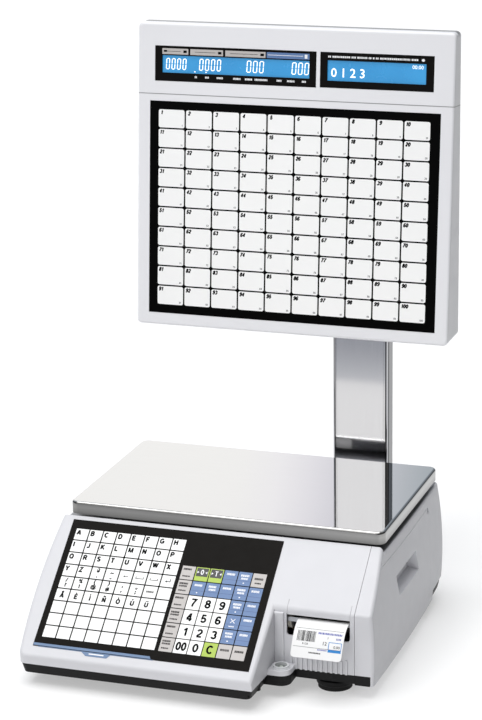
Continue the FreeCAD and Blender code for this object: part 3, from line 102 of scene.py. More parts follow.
def bump(nt, height, strength, distance):
    b = nt.nodes.new("ShaderNodeBump")
    b.inputs["Strength"].default_value = strength
    b.inputs["Distance"].default_value = distance
    link(nt, height, b.inputs["Height"])
    return b.outputs["Normal"]


def lin(c):
    """sRGB 0..255 to linear."""
    return tuple((v / 255 / 12.92) if v / 255 <= 0.04045 else ((v / 255 + 0.055) / 1.055) ** 2.4 for v in c)


def shade(c, k):
    return tuple(max(0.0, min(1.0, v * k)) for v in c)


def plastic(name, rgb, rough=0.42, grain=900.0, grain_h=0.03, vary=0.03, coat=0.0, spec=0.5):
    """Moulded plastic: a fine spark-eroded grain, faint cloudy colour and gloss variation."""
    m, nt, b = new_mat(name)
    c = lin(rgb)
    v = coords(nt)
    big = noise(nt, v, 9.0, 4.0)
    fine = noise(nt, v, grain, 2.0, 0.7)
    link(nt, ramp(nt, big, [(0.3, shade(c, 1 - vary)), (0.7, shade(c, 1 + vary * 0.4))]), b.inputs["Base Color"])
    link(nt, remap(nt, noise(nt, v, 55.0, 3.0), rough - 0.05, rough + 0.06), b.inputs["Roughness"])
    link(nt, bump(nt, fine, grain_h, 0.0006), b.inputs["Normal"])
    b.inputs["Specular IOR Level"].default_value = spec
    if coat:
        b.inputs["Coat Weight"].default_value = coat
        b.inputs["Coat Roughness"].default_value = 0.12
    return m


def metal(name, rgb, rough=0.2, streak=(1, 1, 1), streak_scale=60.0, streak_h=0.02, vary=0.05, metallic=1.0, spread=0.06):
    """Sheet or turned metal: drawn-out streaks in colour, gloss and relief."""
    m, nt, b = new_mat(name)
    c = lin(rgb)
    b.inputs["Metallic"].default_value = metallic
    v = coords(nt, 1.0, streak)
    s = noise(nt, v, streak_scale, 5.0, 0.65)
    cloud = noise(nt, coords(nt), 7.0, 3.0)
    mix = nt.nodes.new("ShaderNodeMath")
    mix.operation = "MULTIPLY_ADD"
    mix.inputs[1].default_value = 0.6
    link(nt, s, mix.inputs[0])
    half = nt.nodes.new("ShaderNodeMath")
    half.operation = "MULTIPLY"
    half.inputs[1].default_value = 0.4
    link(nt, cloud, half.inputs[0])
    link(nt, half.outputs[0], mix.inputs[2])
    f = mix.outputs[0]
    link(nt, ramp(nt, f, [(0.3, shade(c, 1 - vary)), (0.7, shade(c, 1 + vary * 0.5))]), b.inputs["Base Color"])
    link(nt, remap(nt, f, max(0.02, rough - spread), rough + spread), b.inputs["Roughness"])
    link(nt, bump(nt, s, streak_h, 0.0003), b.inputs["Normal"])
    return m


def film(name, rgb, rough=0.28, vary=0.02, grain_h=0.05, grain=1400.0, coat=0.0, spec=0.5):
    """Printed polyester film: even colour, faint texture of the hard coat."""
    m, nt, b = new_mat(name)
    c = lin(rgb)
    v = coords(nt)
    link(nt, ramp(nt, noise(nt, v, 30.0, 3.0), [(0.3, shade(c, 1 - vary)), (0.7, shade(c, 1 + vary))]), b.inputs["Base Color"])
    link(nt, remap(nt, noise(nt, v, 120.0, 2.0), rough - 0.04, rough + 0.05), b.inputs["Roughness"])
    link(nt, bump(nt, noise(nt, v, grain, 2.0, 0.6), grain_h, 0.0002), b.inputs["Normal"])
    b.inputs["Specular IOR Level"].default_value = spec
    if coat:
        b.inputs["Coat Weight"].default_value = coat
        b.inputs["Coat Roughness"].default_value = 0.08
    return m


def lit(name, rgb, strength=0.6, rough=0.25, rgb2=None):
    """Backlit display glass: colour a little uneven, as from a side-lit light guide."""
    m, nt, b = new_mat(name)
    c, d = lin(rgb), lin(rgb2 or rgb)
    v = coords(nt)
    col = ramp(nt, noise(nt, v, 14.0, 2.0), [(0.25, shade(d, 0.93)), (0.75, c)])
    link(nt, col, b.inputs["Base Color"])
    link(nt, col, b.inputs["Emission Color"])
    b.inputs["Emission Strength"].default_value = strength
    link(nt, remap(nt, noise(nt, v, 90.0, 2.0), rough - 0.04, rough + 0.05), b.inputs["Roughness"])
    return m


# ------------------------------------------------------------------ materials
WHITE = plastic("housing_white_m", (211, 211, 215), rough=0.42, grain=1100, grain_h=0.05, vary=0.012)
HEADW = plastic("head_white_m", (234, 234, 237), rough=0.40, grain=1100, grain_h=0.05, vary=0.012)
BLACK = plastic("base_black_m", (14, 14, 15), rough=0.46, grain=700, grain_h=0.10, vary=0.12, spec=0.2)
RUBBER = plastic("rubber_m", (22, 22, 22), rough=0.72, grain=500, grain_h=0.18, vary=0.15, spec=0.3)
SOCKET = plastic("socket_m", (26, 26, 27), rough=0.36, grain=900, grain_h=0.06, vary=0.1)
ROCKER = plastic("rocker_m", (30, 30, 31), rough=0.22, grain=900, grain_h=0.03, vary=0.08, coat=0.4)
GEARW = plastic("gear_m", (226, 223, 212), rough=0.38, grain=500, grain_h=0.06, vary=0.03)
GEARB = plastic("spool_m", (34, 34, 36), rough=0.40, grain=500, grain_h=0.08, vary=0.08)
LEVER = plastic("lever_m", (36, 92, 168), rough=0.34, grain=900, grain_h=0.05, vary=0.04)
MEMB = plastic("membrane_m", (46, 46, 48), rough=0.5, grain=700, grain_h=0.08, vary=0.08)
CUP = plastic("level_cup_m", (214, 216, 218), rough=0.34, grain=800, grain_h=0.04, vary=0.03)
STEEL = metal("platter_steel_m", (222, 221, 219), rough=0.035, streak=(0.05, 1, 1), streak_scale=420, streak_h=0.004, vary=0.02, spread=0.012)
POLE = metal("pole_steel_m", (214, 214, 217), rough=0.10, streak=(1, 1, 0.04), streak_scale=420, streak_h=0.015, vary=0.03, spread=0.03)
ZINC = metal("zinc_m", (176, 178, 182), rough=0.32, streak=(1, 1, 1), streak_scale=35, streak_h=0.05, vary=0.10)
SCREW = metal("screw_m", (150, 151, 153), rough=0.28, streak_scale=300, streak_h=0.05, vary=0.12)
ALU = metal("alu_m", (190, 191, 194), rough=0.30, streak=(0.15, 1, 1), streak_scale=200, streak_h=0.06, vary=0.06)
CAST = metal("cast_m", (140, 142, 146), rough=0.46, streak_scale=260, streak_h=0.30, vary=0.10)
MOTOR = metal("motor_m", (108, 109, 112), rough=0.34, streak=(1, 0.2, 0.2), streak_scale=120, streak_h=0.05, vary=0.10)
BRASS = metal("brass_m", (182, 150, 84), rough=0.26, streak_scale=200, streak_h=0.05, vary=0.10)
HEAT = metal("thermal_m", (92, 94, 98), rough=0.36, streak=(0.1, 1, 1), streak_scale=200, streak_h=0.05, vary=0.10)
OVERLAY = film("overlay_m", (14, 11, 8), rough=0.34, vary=0.05, grain_h=0.06, spec=0.05)
OVERLAY2 = film("head_overlay_m", (4, 4, 4), rough=0.38, vary=0.05, grain_h=0.06, spec=0.03)
KEYW = film("key_white_m", (250, 250, 249), rough=0.36, vary=0.006)
KEYB = film("key_blue_m", (86, 119, 168), rough=0.36, vary=0.02)
KEYG = film("key_green_m", (168, 195, 58), rough=0.36, vary=0.02)
KEYS = film("key_grey_m", (188, 183, 180), rough=0.36, vary=0.02)
KEYD = film("key_deep_blue_m", (56, 84, 132), rough=0.36, vary=0.03)
KEYK = film("key_black_m", (20, 20, 20), rough=0.36, vary=0.04)
INK = film("ink_black_m", (8, 8, 9), rough=0.5, vary=0.05, spec=0.04)
INKG = film("ink_grey_m", (84, 84, 88), rough=0.45, vary=0.03, spec=0.05)
INKW = film("ink_white_m", (240, 241, 243), rough=0.40, vary=0.01)
INKB = film("ink_blue_m", (74, 84, 168), rough=0.45, vary=0.03)
PRINTB = film("print_blue_m", (28, 130, 205), rough=0.45, vary=0.02)
LCD = lit("lcd_m", (50, 148, 206), 0.30, rgb2=(42, 138, 198))
LCDW = lit("lcd_digit_m", (246, 250, 252), 0.75)
BEZEL = film("bezel_m", (15, 13, 12), rough=0.34, vary=0.05, spec=0.05)
PAPER = film("paper_m", (242, 242, 242), rough=0.62, vary=0.012, grain_h=0.12, grain=900)
ROLLP = plastic("roll_m", (238, 236, 230), rough=0.66, grain=1200, grain_h=0.15, vary=0.02, spec=0.3)
SHEET = film("sheet_m", (112, 136, 170), rough=0.34, vary=0.03, spec=0.2)
PCB = plastic("pcb_m", (28, 92, 54), rough=0.36, grain=300, grain_h=0.10, vary=0.14)



def facing_z(nt, stops):
    """A grey that follows how far a face looks up."""
    g = nt.nodes.new("ShaderNodeNewGeometry")
    x = nt.nodes.new("ShaderNodeSeparateXYZ")
    link(nt, g.outputs["Normal"], x.inputs[0])
    return ramp(nt, x.outputs["Z"], [(p, (v, v, v)) for p, v in stops])


def tint(m, grey):
    """Multiplies a material's base colour by a grey."""
    nt = m.node_tree
    b = nt.nodes["Principled BSDF"]
    src = b.inputs["Base Color"].links[0].from_socket
    mul = nt.nodes.new("ShaderNodeVectorMath")
    mul.operation = "MULTIPLY"
    link(nt, src, mul.inputs[0])
    link(nt, grey, mul.inputs[1])
    link(nt, mul.outputs["Vector"], b.inputs["Base Color"])


# painted reflection: faces that look less far up, the skirt most of all, are painted darker than the polished top
tint(STEEL, facing_z(STEEL.node_tree, [(0.0, 0.38), (0.25, 0.40), (0.6, 0.45), (0.95, 0.80), (0.995, 1.0)]))


# painted reflection: across the skirt's height it is painted darker at its foot, with a dark line under a bright top
# edge
tcs = STEEL.node_tree.nodes.new("ShaderNodeTexCoord")
sxs = STEEL.node_tree.nodes.new("ShaderNodeSeparateXYZ")
link(STEEL.node_tree, tcs.outputs["Object"], sxs.inputs[0])
mrs = STEEL.node_tree.nodes.new("ShaderNodeMapRange")
mrs.inputs["From Min"].default_value = 0.1615
mrs.inputs["From Max"].default_value = 0.1765
link(STEEL.node_tree, sxs.outputs["Z"], mrs.inputs["Value"])
tint(STEEL, ramp(STEEL.node_tree, mrs.outputs["Result"], [(p, (v, v, v)) for p, v in ((0.0, 0.55), (0.25, 0.80), (0.55, 1.0), (0.80, 0.90), (0.90, 0.45), (0.97, 1.0))]))


# painted reflection: faces that don't look up, the skirt above all, are painted a little brighter towards the right
ns = STEEL.node_tree
mx = ns.nodes.new("ShaderNodeMapRange")
mx.inputs["From Min"].default_value = -0.05
mx.inputs["From Max"].default_value = 0.19
mx.inputs["To Max"].default_value = 0.35
link(ns, sxs.outputs["X"], mx.inputs["Value"])
my = ns.nodes.new("ShaderNodeMath")
my.operation = "MULTIPLY_ADD"
my.inputs[2].default_value = 1.0
link(ns, mx.outputs["Result"], my.inputs[0])
link(ns, facing_z(ns, [(0.0, 1.0), (0.3, 1.0), (0.6, 0.0), (1.0, 0.0)]), my.inputs[1])
tint(STEEL, my.outputs[0])


def facing_side(nt, stops):
    """A grey that follows how far a face looks sideways along x, whichever side."""
    g = nt.nodes.new("ShaderNodeNewGeometry")
    x = nt.nodes.new("ShaderNodeSeparateXYZ")
    link(nt, g.outputs["Normal"], x.inputs[0])
    a = nt.nodes.new("ShaderNodeMath")
    a.operation = "ABSOLUTE"
    link(nt, x.outputs["X"], a.inputs[0])
    return ramp(nt, a.outputs[0], [(p, (v, v, v)) for p, v in stops])


# painted reflection: dark bands are painted across the pole's rounded corners, and its side faces are painted dark
tint(POLE, facing_side(POLE.node_tree, [(0.0, 1.0), (0.06, 1.0), (0.16, 0.10), (0.55, 0.55), (0.75, 0.90), (0.90, 0.12), (0.97, 0.10), (1.0, 0.22)]))
# painted shadow: the up-facing top of the sunk deck under the platter is painted dark grey up to the rounded edge of
# the flanks, as the shade in the gap under the platter
nt = WHITE.node_tree
up = facing_z(nt, [(0.0, 1.0), (0.90, 1.0), (0.985, 0.0), (1.0, 0.0)])
tc = nt.nodes.new("ShaderNodeTexCoord")
sx = nt.nodes.new("ShaderNodeSeparateXYZ")
link(nt, tc.outputs["Object"], sx.inputs[0])
band = nt.nodes.new("ShaderNodeMapRange")
band.inputs["From Min"].default_value = 0.1505
band.inputs["From Max"].default_value = 0.1515
band.inputs["To Min"].default_value = 0.0
band.inputs["To Max"].default_value = 1.0
link(nt, sx.outputs["Z"], band.inputs["Value"])
inv = nt.nodes.new("ShaderNodeMath")
inv.operation = "SUBTRACT"
inv.inputs[0].default_value = 1.0
link(nt, up, inv.inputs[1])
dk = nt.nodes.new("ShaderNodeMath")
dk.operation = "MULTIPLY"
link(nt, inv.outputs[0], dk.inputs[0])
link(nt, band.outputs["Result"], dk.inputs[1])
keep = nt.nodes.new("ShaderNodeMapRange")
keep.inputs["To Min"].default_value = 1.0
keep.inputs["To Max"].default_value = 0.42
link(nt, dk.outputs[0], keep.inputs["Value"])
tint(WHITE, keep.outputs["Result"])
# painted shade: faces that look sideways along x are painted darker
tint(WHITE, facing_side(WHITE.node_tree, [(0.0, 1.0), (0.80, 1.0), (0.97, 0.80)]))
# painted shade: a thin dark line is painted along the joint between header and key frame, where shade falls in the
# seam
nh = HEADW.node_tree
th = nh.nodes.new("ShaderNodeTexCoord")
vh = nh.nodes.new("ShaderNodeVectorMath")
vh.operation = "DOT_PRODUCT"
vh.inputs[1].default_value = (0.0, math.sin(math.radians(5)), math.cos(math.radians(5)))
link(nh, th.outputs["Object"], vh.inputs[0])
SEAM = 0.3475 * math.cos(math.radians(5)) + 0.173 * math.sin(math.radians(5)) + 0.275
dh = nh.nodes.new("ShaderNodeMath")
dh.operation = "SUBTRACT"
dh.inputs[1].default_value = SEAM
link(nh, vh.outputs["Value"], dh.inputs[0])
ah = nh.nodes.new("ShaderNodeMath")
ah.operation = "ABSOLUTE"
link(nh, dh.outputs[0], ah.inputs[0])
mh = nh.nodes.new("ShaderNodeMapRange")
mh.inputs["From Min"].default_value = 0.00035
mh.inputs["From Max"].default_value = 0.00075
mh.inputs["To Min"].default_value = 0.42
mh.inputs["To Max"].default_value = 1.0
link(nh, ah.outputs[0], mh.inputs["Value"])
tint(HEADW, mh.outputs["Result"])
# painted shade: the up-facing upper edge of the back shell, behind the front one, is painted grey
xh = nh.nodes.new("ShaderNodeSeparateXYZ")
link(nh, th.outputs["Object"], xh.inputs[0])
yb = nh.nodes.new("ShaderNodeMapRange")
yb.inputs["From Min"].default_value = 0.2155
yb.inputs["From Max"].default_value = 0.2170
link(nh, xh.outputs["Y"], yb.inputs["Value"])
ub = nh.nodes.new("ShaderNodeMath")
ub.operation = "MULTIPLY"
link(nh, yb.outputs["Result"], ub.inputs[0])
link(nh, facing_z(nh, [(0.0, 0.0), (0.25, 0.0), (0.6, 1.0), (1.0, 1.0)]), ub.inputs[1])
kb2 = nh.nodes.new("ShaderNodeMapRange")
kb2.inputs["To Min"].default_value = 1.0
kb2.inputs["To Max"].default_value = 0.34
link(nh, ub.outputs[0], kb2.inputs["Value"])
tint(HEADW, kb2.outputs["Result"])
# painted shade: faces that look sideways along x are painted darker
tint(HEADW, facing_side(HEADW.node_tree, [(0.0, 1.0), (0.80, 1.0), (0.97, 0.70)]))

ASSIGN = {
    WHITE: ["upper_housing", "slot_hood", "side_door"],
    HEADW: ["head_front_frame", "head_header", "head_back_shell", "pole_collar"],
    BLACK: ["base_tray", "door_sill"] + ["foot_screw_" + k for k in ("front_left", "front_right", "rear_left", "rear_right")],
    RUBBER: ["spider_pads", "platen_roller"] + ["foot_pad_" + k for k in ("front_left", "front_right", "rear_left", "rear_right")],
    SOCKET: ["power_inlet", "switch_bezel", "rear_ports"],
    ROCKER: ["power_rocker"],
    GEARW: ["platen_gear"],
    GEARB: ["rewind_spool"],
    LEVER: ["release_lever"],
    MEMB: ["key_membrane", "head_key_membrane"],
    CUP: ["level_cup"],
    STEEL: ["platter"],
    POLE: ["pole"],
    ZINC: ["printer_frame", "pole_bracket", "head_bracket", "head_key_plate"],
    SCREW: ["housing_screws", "head_screws", "pole_screws", "load_cell_bolts"],
    ALU: ["load_cell", "load_cell_spacers"],
    CAST: ["platter_spider"],
    MOTOR: ["stepper_motor"],
    BRASS: ["motor_pinion"],
    HEAT: ["print_head"],
    OVERLAY: ["key_overlay"],
    OVERLAY2: ["head_key_overlay"],
    LCD: ["price_lcd", "text_lcd", "customer_lcd"],
    PAPER: ["printed_label"],
    ROLLP: ["label_roll"],
    SHEET: ["key_sheet"],
    PCB: ["main_board", "power_board", "display_board"],
}
for mat, names in ASSIGN.items():
    for n in names:
        o = N[n]
        o.data.materials.clear()
        o.data.materials.append(mat)

glass, nt, b = new_mat("window_m")
gv = coords(nt)
link(nt, ramp(nt, noise(nt, gv, 20.0), [(0.3, (0.010, 0.011, 0.012)), (0.7, (0.016, 0.017, 0.018))]), b.inputs["Base Color"])
link(nt, remap(nt, noise(nt, gv, 60.0), 0.06, 0.12), b.inputs["Roughness"])
b.inputs["Coat Weight"].default_value = 0.3
N["customer_lens"].data.materials.clear()
N["customer_lens"].data.materials.append(glass)
vial, nt, b = new_mat("vial_m")
gv = coords(nt)
link(nt, ramp(nt, noise(nt, gv, 90.0), [(0.3, lin((96, 104, 100))), (0.7, lin((128, 136, 130)))]), b.inputs["Base Color"])
link(nt, remap(nt, noise(nt, gv, 60.0), 0.04, 0.10), b.inputs["Roughness"])
b.inputs["Coat Weight"].default_value = 1.0
N["level_lens"].data.materials.clear()
N["level_lens"].data.materials.append(vial)


# ------------------------------------------------------------------ planes of the two keyboards, taken from the frame
class Plane:
    """A flat printed surface: x across, v along it, n out of it, all in millimetres."""

    def __init__(self, origin, ev, en):
        self.o, self.ev, self.en, self.ex = Vector(origin), Vector(ev), Vector(en), Vector((1, 0, 0))

    def at(self, x, v, n=0.0):
        return self.o + (self.ex * x + self.ev * v + self.en * n) * MM


def plate_size(node, deg):
    """Length and thickness of a plate tilted by deg from +Z towards +Y (its box is all that is needed)."""
    lo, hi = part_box(node)
    dy, dz = hi.y - lo.y, hi.z - lo.z
    s, c = math.sin(math.radians(deg)), math.cos(math.radians(deg))
    det = s * s - c * c
    return (dy * s - dz * c) / det, (dz * s - dy * c) / det, lo, hi


# head face: leans back 5 degrees, v goes up
_, t_head, lo, hi = plate_size("head_key_overlay", 5.0)
s5, c5 = math.sin(math.radians(5)), math.cos(math.radians(5))
OV_FOOT = 2.6 * MM
FACE = Plane((0, lo.y + OV_FOOT * s5, lo.z + t_head * s5 + OV_FOOT * c5), (0, s5, c5), (0, -c5, s5))
# keyboard slope: 39 degrees, v goes down the slope
_, t_kb, lo, hi = plate_size("key_overlay", 51.0)
s39, c39 = math.sin(math.radians(39)), math.cos(math.radians(39))
SLOPE = Plane((0, hi.y - 0.0, hi.z - t_kb * c39), (0, -c39, -s39), (0, -s39, c39))
KB_T = 0.9


# ------------------------------------------------------------------ mesh builders
class Batch:
    """Collects flat printed shapes of one material into one mesh."""

    def __init__(self, name, mat, body, slot=None):
        self.name, self.mat, self.body, self.slot = name, mat, body, slot
        self.v, self.f = [], []

    def prism(self, loop, put, n0, n1):
        """A closed prism: loop is [(x, v)], put maps (x, v, n) to the world."""
        k = len(self.v)
        m = len(loop)
        self.v += [put(x, v, n0) for x, v in loop] + [put(x, v, n1) for x, v in loop]
        self.f.append([k + m + i for i in range(m)])
        self.f.append([k + i for i in reversed(range(m))])
        for i in range(m):
            j = (i + 1) % m
            self.f.append([k + i, k + j, k + m + j, k + m + i])

    def mesh(self, verts, faces, put, n0):
        k = len(self.v)
        self.v += [put(x, v, n0 + n) for x, v, n in verts]
        self.f += [[k + i for i in f] for f in faces]

    def done(self):
        if not self.v:
            return None
        me = bpy.data.meshes.new(self.name)
        me.from_pydata([tuple(p) for p in self.v], [], self.f)
        bm = bmesh.new()
        bm.from_mesh(me)
        bmesh.ops.recalc_face_normals(bm, faces=bm.faces)
        bm.to_mesh(me)
        bm.free()
        me.materials.append(self.mat)
        o = bpy.data.objects.new(self.name, me)
        bpy.context.scene.collection.objects.link(o)
        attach(o, self.body)
        return o


def rrect(x0, x1, v0, v1, r, seg=4):
    pts = []
    for cx, cv, a0 in ((x1 - r, v1 - r, 0), (x0 + r, v1 - r, 90), (x0 + r, v0 + r, 180), (x1 - r, v0 + r, 270)):
        for i in range(seg + 1):
            a = math.radians(a0 + 90 * i / seg)
            pts.append((cx + r * math.cos(a), cv + r * math.sin(a)))
    return pts


def ellipse(cx, cv, rx, rv, n=24):
    return [(cx + rx * math.cos(2 * math.pi * i / n), cv + rv * math.sin(2 * math.pi * i / n)) for i in range(n)]


_text_cache = {}


def text_mesh(body, size, shear=0.0, weight=0.0, depth=0.06):
    """A glyph run as verts (x, v, n) in millimetres and faces, with its width."""
    key = (body, size, shear, weight, depth)
    if key in _text_cache:
        return _text_cache[key]
    cu = bpy.data.curves.new("t", "FONT")
    cu.body = body
    cu.size = size
    cu.shear = shear
    cu.offset = weight
    cu.extrude = depth / 2
    cu.resolution_u = 2
    ob = bpy.data.objects.new("t", cu)
    bpy.context.scene.collection.objects.link(ob)
    dg = bpy.context.evaluated_depsgraph_get()
    me = bpy.data.meshes.new_from_object(ob.evaluated_get(dg))
    verts = [tuple(p.co) for p in me.vertices]
    faces = [list(p.vertices) for p in me.polygons]
    bpy.data.objects.remove(ob)
    bpy.data.curves.remove(cu)
    bpy.data.meshes.remove(me)
    xs = [p[0] for p in verts]
    ys = [p[1] for p in verts]
    out = (verts, faces, min(xs), max(xs), min(ys), max(ys))
    _text_cache[key] = out
    return out


def put_text(batch, body, x, v, size, put, n, up=1, shear=0.0, weight=0.0, align="left", stretch=1.0, depth=0.06):
    """Writes a run with its left (or right, or middle) edge at x and its foot at v. up is +1 where v goes up."""
    verts, faces, x0, x1, y0, y1 = text_mesh(body, size, shear, weight, depth)
    w = (x1 - x0) * stretch
    ox = {"left": x, "right": x - w, "mid": x - w / 2}[align]
    batch.mesh([(ox + (a - x0) * stretch, v + up * (b - y0), c) for a, b, c in verts], faces, put, n + depth / 2)


def seg_digit(batch, segs, x, v, w, h, t, put, n0, n1, up=1, slant=0.06):
    """A seven-segment figure; segs is a string of a..g."""
    g = t * 0.16
    def P(px, pv):
        return (x + px + slant * pv, v + up * pv)
    H = {"a": h - t / 2, "g": h / 2, "d": t / 2}
    for s in segs:
        if s in H:
            c = H[s]
            loop = [(t * 0.5 + g, c), (t * 0.95 + g, c + t / 2), (w - t * 0.95 - g, c + t / 2), (w - t * 0.5 - g, c), (w - t * 0.95 - g, c - t / 2), (t * 0.95 + g, c - t / 2)]
        else:
            cx = t / 2 if s in "ef" else w - t / 2
            a, b = (t * 0.5 + g, h / 2 - g) if s in "ec" else (h / 2 + g, h - t * 0.5 - g)
            loop = [(cx, a), (cx + t / 2, a + t * 0.45), (cx + t / 2, b - t * 0.45), (cx, b), (cx - t / 2, b - t * 0.45), (cx - t / 2, a + t * 0.45)]
        batch.prism([P(px, pv) for px, pv in loop], put, n0, n1)


def arc(cx, cy, rx, ry, a0, a1, n=10):
    return [(cx + rx * math.cos(math.radians(a0 + (a1 - a0) * i / n)), cy + ry * math.sin(math.radians(a0 + (a1 - a0) * i / n))) for i in range(n + 1)]


def ring(cx, cy, rx, ry):
    return arc(cx, cy, rx, ry, 0, 360, 20)[:-1] + ["closed"]


# bold sans-serif signs as centre lines in a box one unit high: (width, strokes)
BOWL = arc(0.36, 0.73, 0.17, 0.195, 90, -90, 8)
BOWL2 = arc(0.38, 0.31, 0.19, 0.235, 90, -90, 8)
GLYPH = {
    "0": (0.56, [ring(0.28, 0.5, 0.205, 0.425)]),
    "1": (0.44, [[(0.30, 0.0), (0.30, 1.0)], [(0.06, 0.72), (0.20, 0.77), (0.27, 0.90)]]),
    "2": (0.56, [arc(0.28, 0.69, 0.20, 0.235, 172, -32, 10) + [(0.34, 0.42), (0.15, 0.25), (0.085, 0.08)], [(0.04, 0.075), (0.53, 0.075)]]),
    "3": (0.56, [arc(0.27, 0.73, 0.185, 0.195, 165, -82, 10), arc(0.27, 0.30, 0.205, 0.225, 86, -165, 12)]),
    "4": (0.58, [[(0.39, 0.0), (0.39, 1.0)], [(0.37, 0.95), (0.07, 0.30)], [(0.03, 0.27), (0.56, 0.27)]]),
    "5": (0.56, [[(0.48, 0.925), (0.15, 0.925), (0.105, 0.50)] + arc(0.27, 0.33, 0.205, 0.25, 130, -160, 12)]),
    "6": (0.56, [ring(0.28, 0.30, 0.205, 0.225), [(0.075, 0.32), (0.08, 0.60), (0.15, 0.84), (0.28, 0.925), (0.40, 0.90), (0.47, 0.76)]]),
    "7": (0.56, [[(0.04, 0.925), (0.50, 0.925), (0.35, 0.62), (0.24, 0.30), (0.21, 0.0)]]),
    "8": (0.56, [ring(0.28, 0.735, 0.18, 0.19), ring(0.28, 0.295, 0.205, 0.22)]),
    "9": (0.56, [ring(0.28, 0.70, 0.205, 0.225), [(0.485, 0.68), (0.48, 0.40), (0.41, 0.16), (0.28, 0.075), (0.16, 0.10), (0.09, 0.24)]]),
    "A": (0.70, [[(0.05, 0.0), (0.33, 0.96)], [(0.37, 0.96), (0.65, 0.0)], [(0.16, 0.29), (0.54, 0.29)]]),
    "B": (0.66, [[(0.10, 0.0), (0.10, 1.0)], [(0.10, 0.925)] + BOWL + [(0.10, 0.535)], [(0.10, 0.545)] + BOWL2 + [(0.10, 0.075)]]),
    "C": (0.70, [arc(0.36, 0.5, 0.27, 0.425, 42, 318, 16)]),
    "D": (0.70, [[(0.10, 0.0), (0.10, 1.0)], [(0.10, 0.925)] + arc(0.32, 0.5, 0.27, 0.425, 90, -90, 12) + [(0.10, 0.075)]]),
    "E": (0.62, [[(0.10, 0.0), (0.10, 1.0)], [(0.10, 0.925), (0.58, 0.925)], [(0.10, 0.52), (0.53, 0.52)], [(0.10, 0.075), (0.60, 0.075)]]),
    "F": (0.60, [[(0.10, 0.0), (0.10, 1.0)], [(0.10, 0.925), (0.57, 0.925)], [(0.10, 0.50), (0.50, 0.50)]]),
    "G": (0.74, [arc(0.37, 0.5, 0.28, 0.425, 45, 325, 16), [(0.64, 0.05), (0.64, 0.44), (0.40, 0.44)]]),
    "H": (0.68, [[(0.10, 0.0), (0.10, 1.0)], [(0.58, 0.0), (0.58, 1.0)], [(0.10, 0.53), (0.58, 0.53)]]),
    "I": (0.24, [[(0.12, 0.0), (0.12, 1.0)]]),
    "J": (0.52, [[(0.43, 1.0), (0.43, 0.28)] + arc(0.255, 0.26, 0.175, 0.185, 0, -170, 8)]),
    "K": (0.68, [[(0.10, 0.0), (0.10, 1.0)], [(0.10, 0.34), (0.58, 1.0)], [(0.27, 0.56), (0.62, 0.0)]]),
    "L": (0.58, [[(0.10, 0.0), (0.10, 1.0)], [(0.10, 0.075), (0.56, 0.075)]]),
    "M": (0.82, [[(0.10, 0.0), (0.10, 1.0)], [(0.72, 0.0), (0.72, 1.0)], [(0.13, 0.93), (0.41, 0.08), (0.69, 0.93)]]),
    "N": (0.68, [[(0.10, 0.0), (0.10, 1.0)], [(0.58, 0.0), (0.58, 1.0)], [(0.12, 0.93), (0.56, 0.07)]]),
    "O": (0.74, [ring(0.37, 0.5, 0.285, 0.425)]),
    "P": (0.64, [[(0.10, 0.0), (0.10, 1.0)], [(0.10, 0.925)] + arc(0.36, 0.69, 0.19, 0.235, 90, -90, 8) + [(0.10, 0.455)]]),
    "Q": (0.74, [ring(0.37, 0.5, 0.285, 0.425), [(0.42, 0.26), (0.66, 0.0)]]),
    "R": (0.68, [[(0.10, 0.0), (0.10, 1.0)], [(0.10, 0.925)] + arc(0.38, 0.70, 0.18, 0.225, 90, -90, 8) + [(0.10, 0.475)], [(0.40, 0.47), (0.60, 0.0)]]),
    "S": (0.64, [arc(0.32, 0.72, 0.20, 0.205, 25, 262, 10) + [(0.34, 0.51)] + arc(0.32, 0.285, 0.215, 0.21, 78, -160, 10)]),
    "T": (0.60, [[(0.02, 0.925), (0.58, 0.925)], [(0.30, 0.0), (0.30, 0.925)]]),
    "U": (0.68, [[(0.10, 1.0), (0.10, 0.31)] + arc(0.34, 0.31, 0.24, 0.235, 180, 360, 12) + [(0.58, 1.0)]]),
    "V": (0.64, [[(0.04, 1.0), (0.30, 0.04)], [(0.34, 0.04), (0.60, 1.0)]]),
    "W": (0.90, [[(0.04, 1.0), (0.23, 0.04)], [(0.25, 0.04), (0.44, 0.96)], [(0.46, 0.96), (0.65, 0.04)], [(0.67, 0.04), (0.86, 1.0)]]),
    "X": (0.64, [[(0.06, 0.0), (0.58, 1.0)], [(0.06, 1.0), (0.58, 0.0)]]),
    "Y": (0.64, [[(0.04, 1.0), (0.32, 0.46), (0.60, 1.0)], [(0.32, 0.48), (0.32, 0.0)]]),
    "Z": (0.62, [[(0.05, 0.925), (0.52, 0.925), (0.08, 0.075), (0.58, 0.075)]]),
    "grave": (0.0, [[(-0.14, 1.34), (0.06, 1.16)]]),
    "trema": (0.0, [[(-0.14, 1.17), (-0.14, 1.33)], [(0.14, 1.17), (0.14, 1.33)]]),
    "tilde": (0.0, [[(-0.22, 1.18), (-0.10, 1.29), (0.08, 1.19), (0.22, 1.30)]]),
    "ringa": (0.0, [ring(0.0, 1.22, 0.11, 0.11)]),
}


